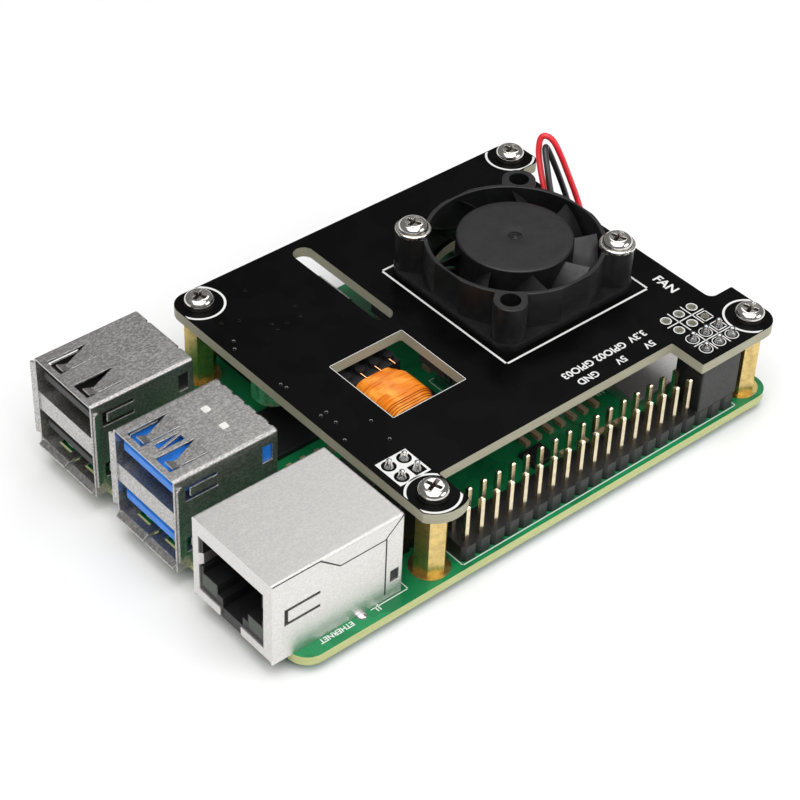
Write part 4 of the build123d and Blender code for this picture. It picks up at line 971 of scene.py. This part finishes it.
RED_ROUTE = [
    at_exit(11.9, 0.6), at_exit(13.8, 0.6), (10.2, 18.7, 15.5), (9.8, 17.1, 17.5), (9.1, 15.4, 19.5),
    (8.4, 14.0, 21.6), (7.6, 13.6, 23.6), (6.7, 15.0, 23.4), (6.1, 16.4, 21.0), (5.1, 17.5, 17.4),
    (4.1, 18.7, 13.6), (3.6, 19.6, 10.6), (4.3, 20.5, 8.4), (6.2, 20.5, 8.4)]
BLACK_ROUTE = [
    at_exit(11.9, -0.6), at_exit(13.8, -0.6), (10.2, 19.8, 15.9), (9.9, 18.5, 17.9), (9.2, 17.0, 20.1),
    (8.3, 15.3, 21.9), (7.4, 14.5, 22.2), (6.5, 15.0, 20.0), (5.3, 15.7, 16.6), (4.1, 16.3, 13.0),
    (3.7, 17.0, 10.6), (4.4, 18.5, 8.4), (6.2, 18.5, 8.4)]


def lead(name, node, route, look):
    """A lead as a round NURBS curve through the CAD's route, made into a mesh."""
    curve = bpy.data.curves.new(name, "CURVE")
    curve.dimensions = "3D"
    spline = curve.splines.new("NURBS")
    spline.points.add(len(route) - 1)
    for point, place in zip(spline.points, route):
        point.co = (*at(*place), 1.0)
    spline.order_u = 3
    spline.use_endpoint_u = True
    curve.resolution_u = 12
    curve.bevel_depth = 0.45 * MM
    curve.bevel_resolution = 6
    curve.use_fill_caps = True
    source = bpy.data.objects.new(name + "_route", curve)
    bpy.context.scene.collection.objects.link(source)
    mesh = bpy.data.meshes.new_from_object(source.evaluated_get(bpy.context.evaluated_depsgraph_get()))
    bpy.data.objects.remove(source)
    piece = finish_piece(name, mesh, look, smooth=60)
    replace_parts(piece, node)
    return piece


# ---------------------------------------------------------------- stage
CAMERA_AT = Vector((0.17322, 0.17730, 0.20837))
CAMERA_AIM = Vector((0.01431, 0.00124, 0.00600))
CAMERA_ROLL = 2.49
CAMERA_LENS = 102.7


def add_camera():
    data = bpy.data.cameras.new("camera")
    data.lens = CAMERA_LENS
    data.sensor_width = 36.0
    data.clip_start = 0.01
    camera = bpy.data.objects.new("camera", data)
    bpy.context.scene.collection.objects.link(camera)
    look = (CAMERA_AIM - CAMERA_AT).to_track_quat("-Z", "Y").to_matrix().to_4x4()
    roll = Matrix.Rotation(math.radians(CAMERA_ROLL), 4, "Z")
    camera.matrix_world = Matrix.Translation(CAMERA_AT) @ look @ roll
    bpy.context.scene.camera = camera


def add_light(name, place, aim, size, power):
    data = bpy.data.lights.new(name, "AREA")
    data.shape = "RECTANGLE"
    data.size, data.size_y = size
    data.energy = power
    obj = bpy.data.objects.new(name, data)
    bpy.context.scene.collection.objects.link(obj)
    obj.location = place
    obj.rotation_euler = (Vector(aim) - Vector(place)).to_track_quat("-Z", "Y").to_euler()


def add_stage():
    """A flat pale floor, dim even surroundings, and soft lights above, at one side and at the back."""
    ground = CAD_BOX[0].z
    bm = bmesh.new()
    reach = 1.2              # half the floor's width in metres
    bm.faces.new([bm.verts.new((x, y, ground)) for x, y in
                  ((-reach, -reach), (reach, -reach), (reach, reach), (-reach, reach))])
    data = bpy.data.meshes.new("floor")
    bm.to_mesh(data)
    bm.free()
    n = Nodes("floor_paper")
    n.color(n.mix(n.noise(40.0, 2.0), (0.86, 0.86, 0.86), (0.90, 0.90, 0.90)))
    n.set(Roughness=0.7, Specular_IOR_Level=0.2)
    data.materials.append(n.material)
    floor = bpy.data.objects.new("floor", data)
    bpy.context.scene.collection.objects.link(floor)

    world = bpy.data.worlds.new("studio")
    world.use_nodes = True
    world.node_tree.nodes["Background"].inputs["Color"].default_value = (1.0, 1.0, 1.0, 1.0)
    world.node_tree.nodes["Background"].inputs["Strength"].default_value = 0.18
    bpy.context.scene.world = world
    add_light("top", (0.20, 0.20, 0.80), (0.01, 0.0, 0.0), (1.0, 1.0), 10.0)
    add_light("side", (-0.35, 0.55, 0.35), (0.01, 0.0, 0.0), (0.4, 0.3), 1.2)
    add_light("back", (-0.45, -0.35, 0.75), (0.03, 0.0, 0.0), (0.35, 0.35), 0.8)
    bpy.context.scene.view_settings.view_transform = "Standard"


# ---------------------------------------------------------------- build
add_camera()
add_stage()
dress_cad_nodes()
deck_print()
deck_pads()
deck_vias()
deck_joints()
underside_joints()
hole_pads()
board_print()
jack_seam()
jack_solder()
usb_dimples()
hub = hub_mesh()
blades = blades_mesh()
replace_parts(hub, "fan_rotor")
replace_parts(blades, "fan_rotor")
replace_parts(winding_mesh(), "transformer_winding")
winding_wires()
lead("red_fan_lead", "red_lead", RED_ROUTE, "red_insulation")
lead("black_fan_lead", "black_lead", BLACK_ROUTE, "black_insulation")
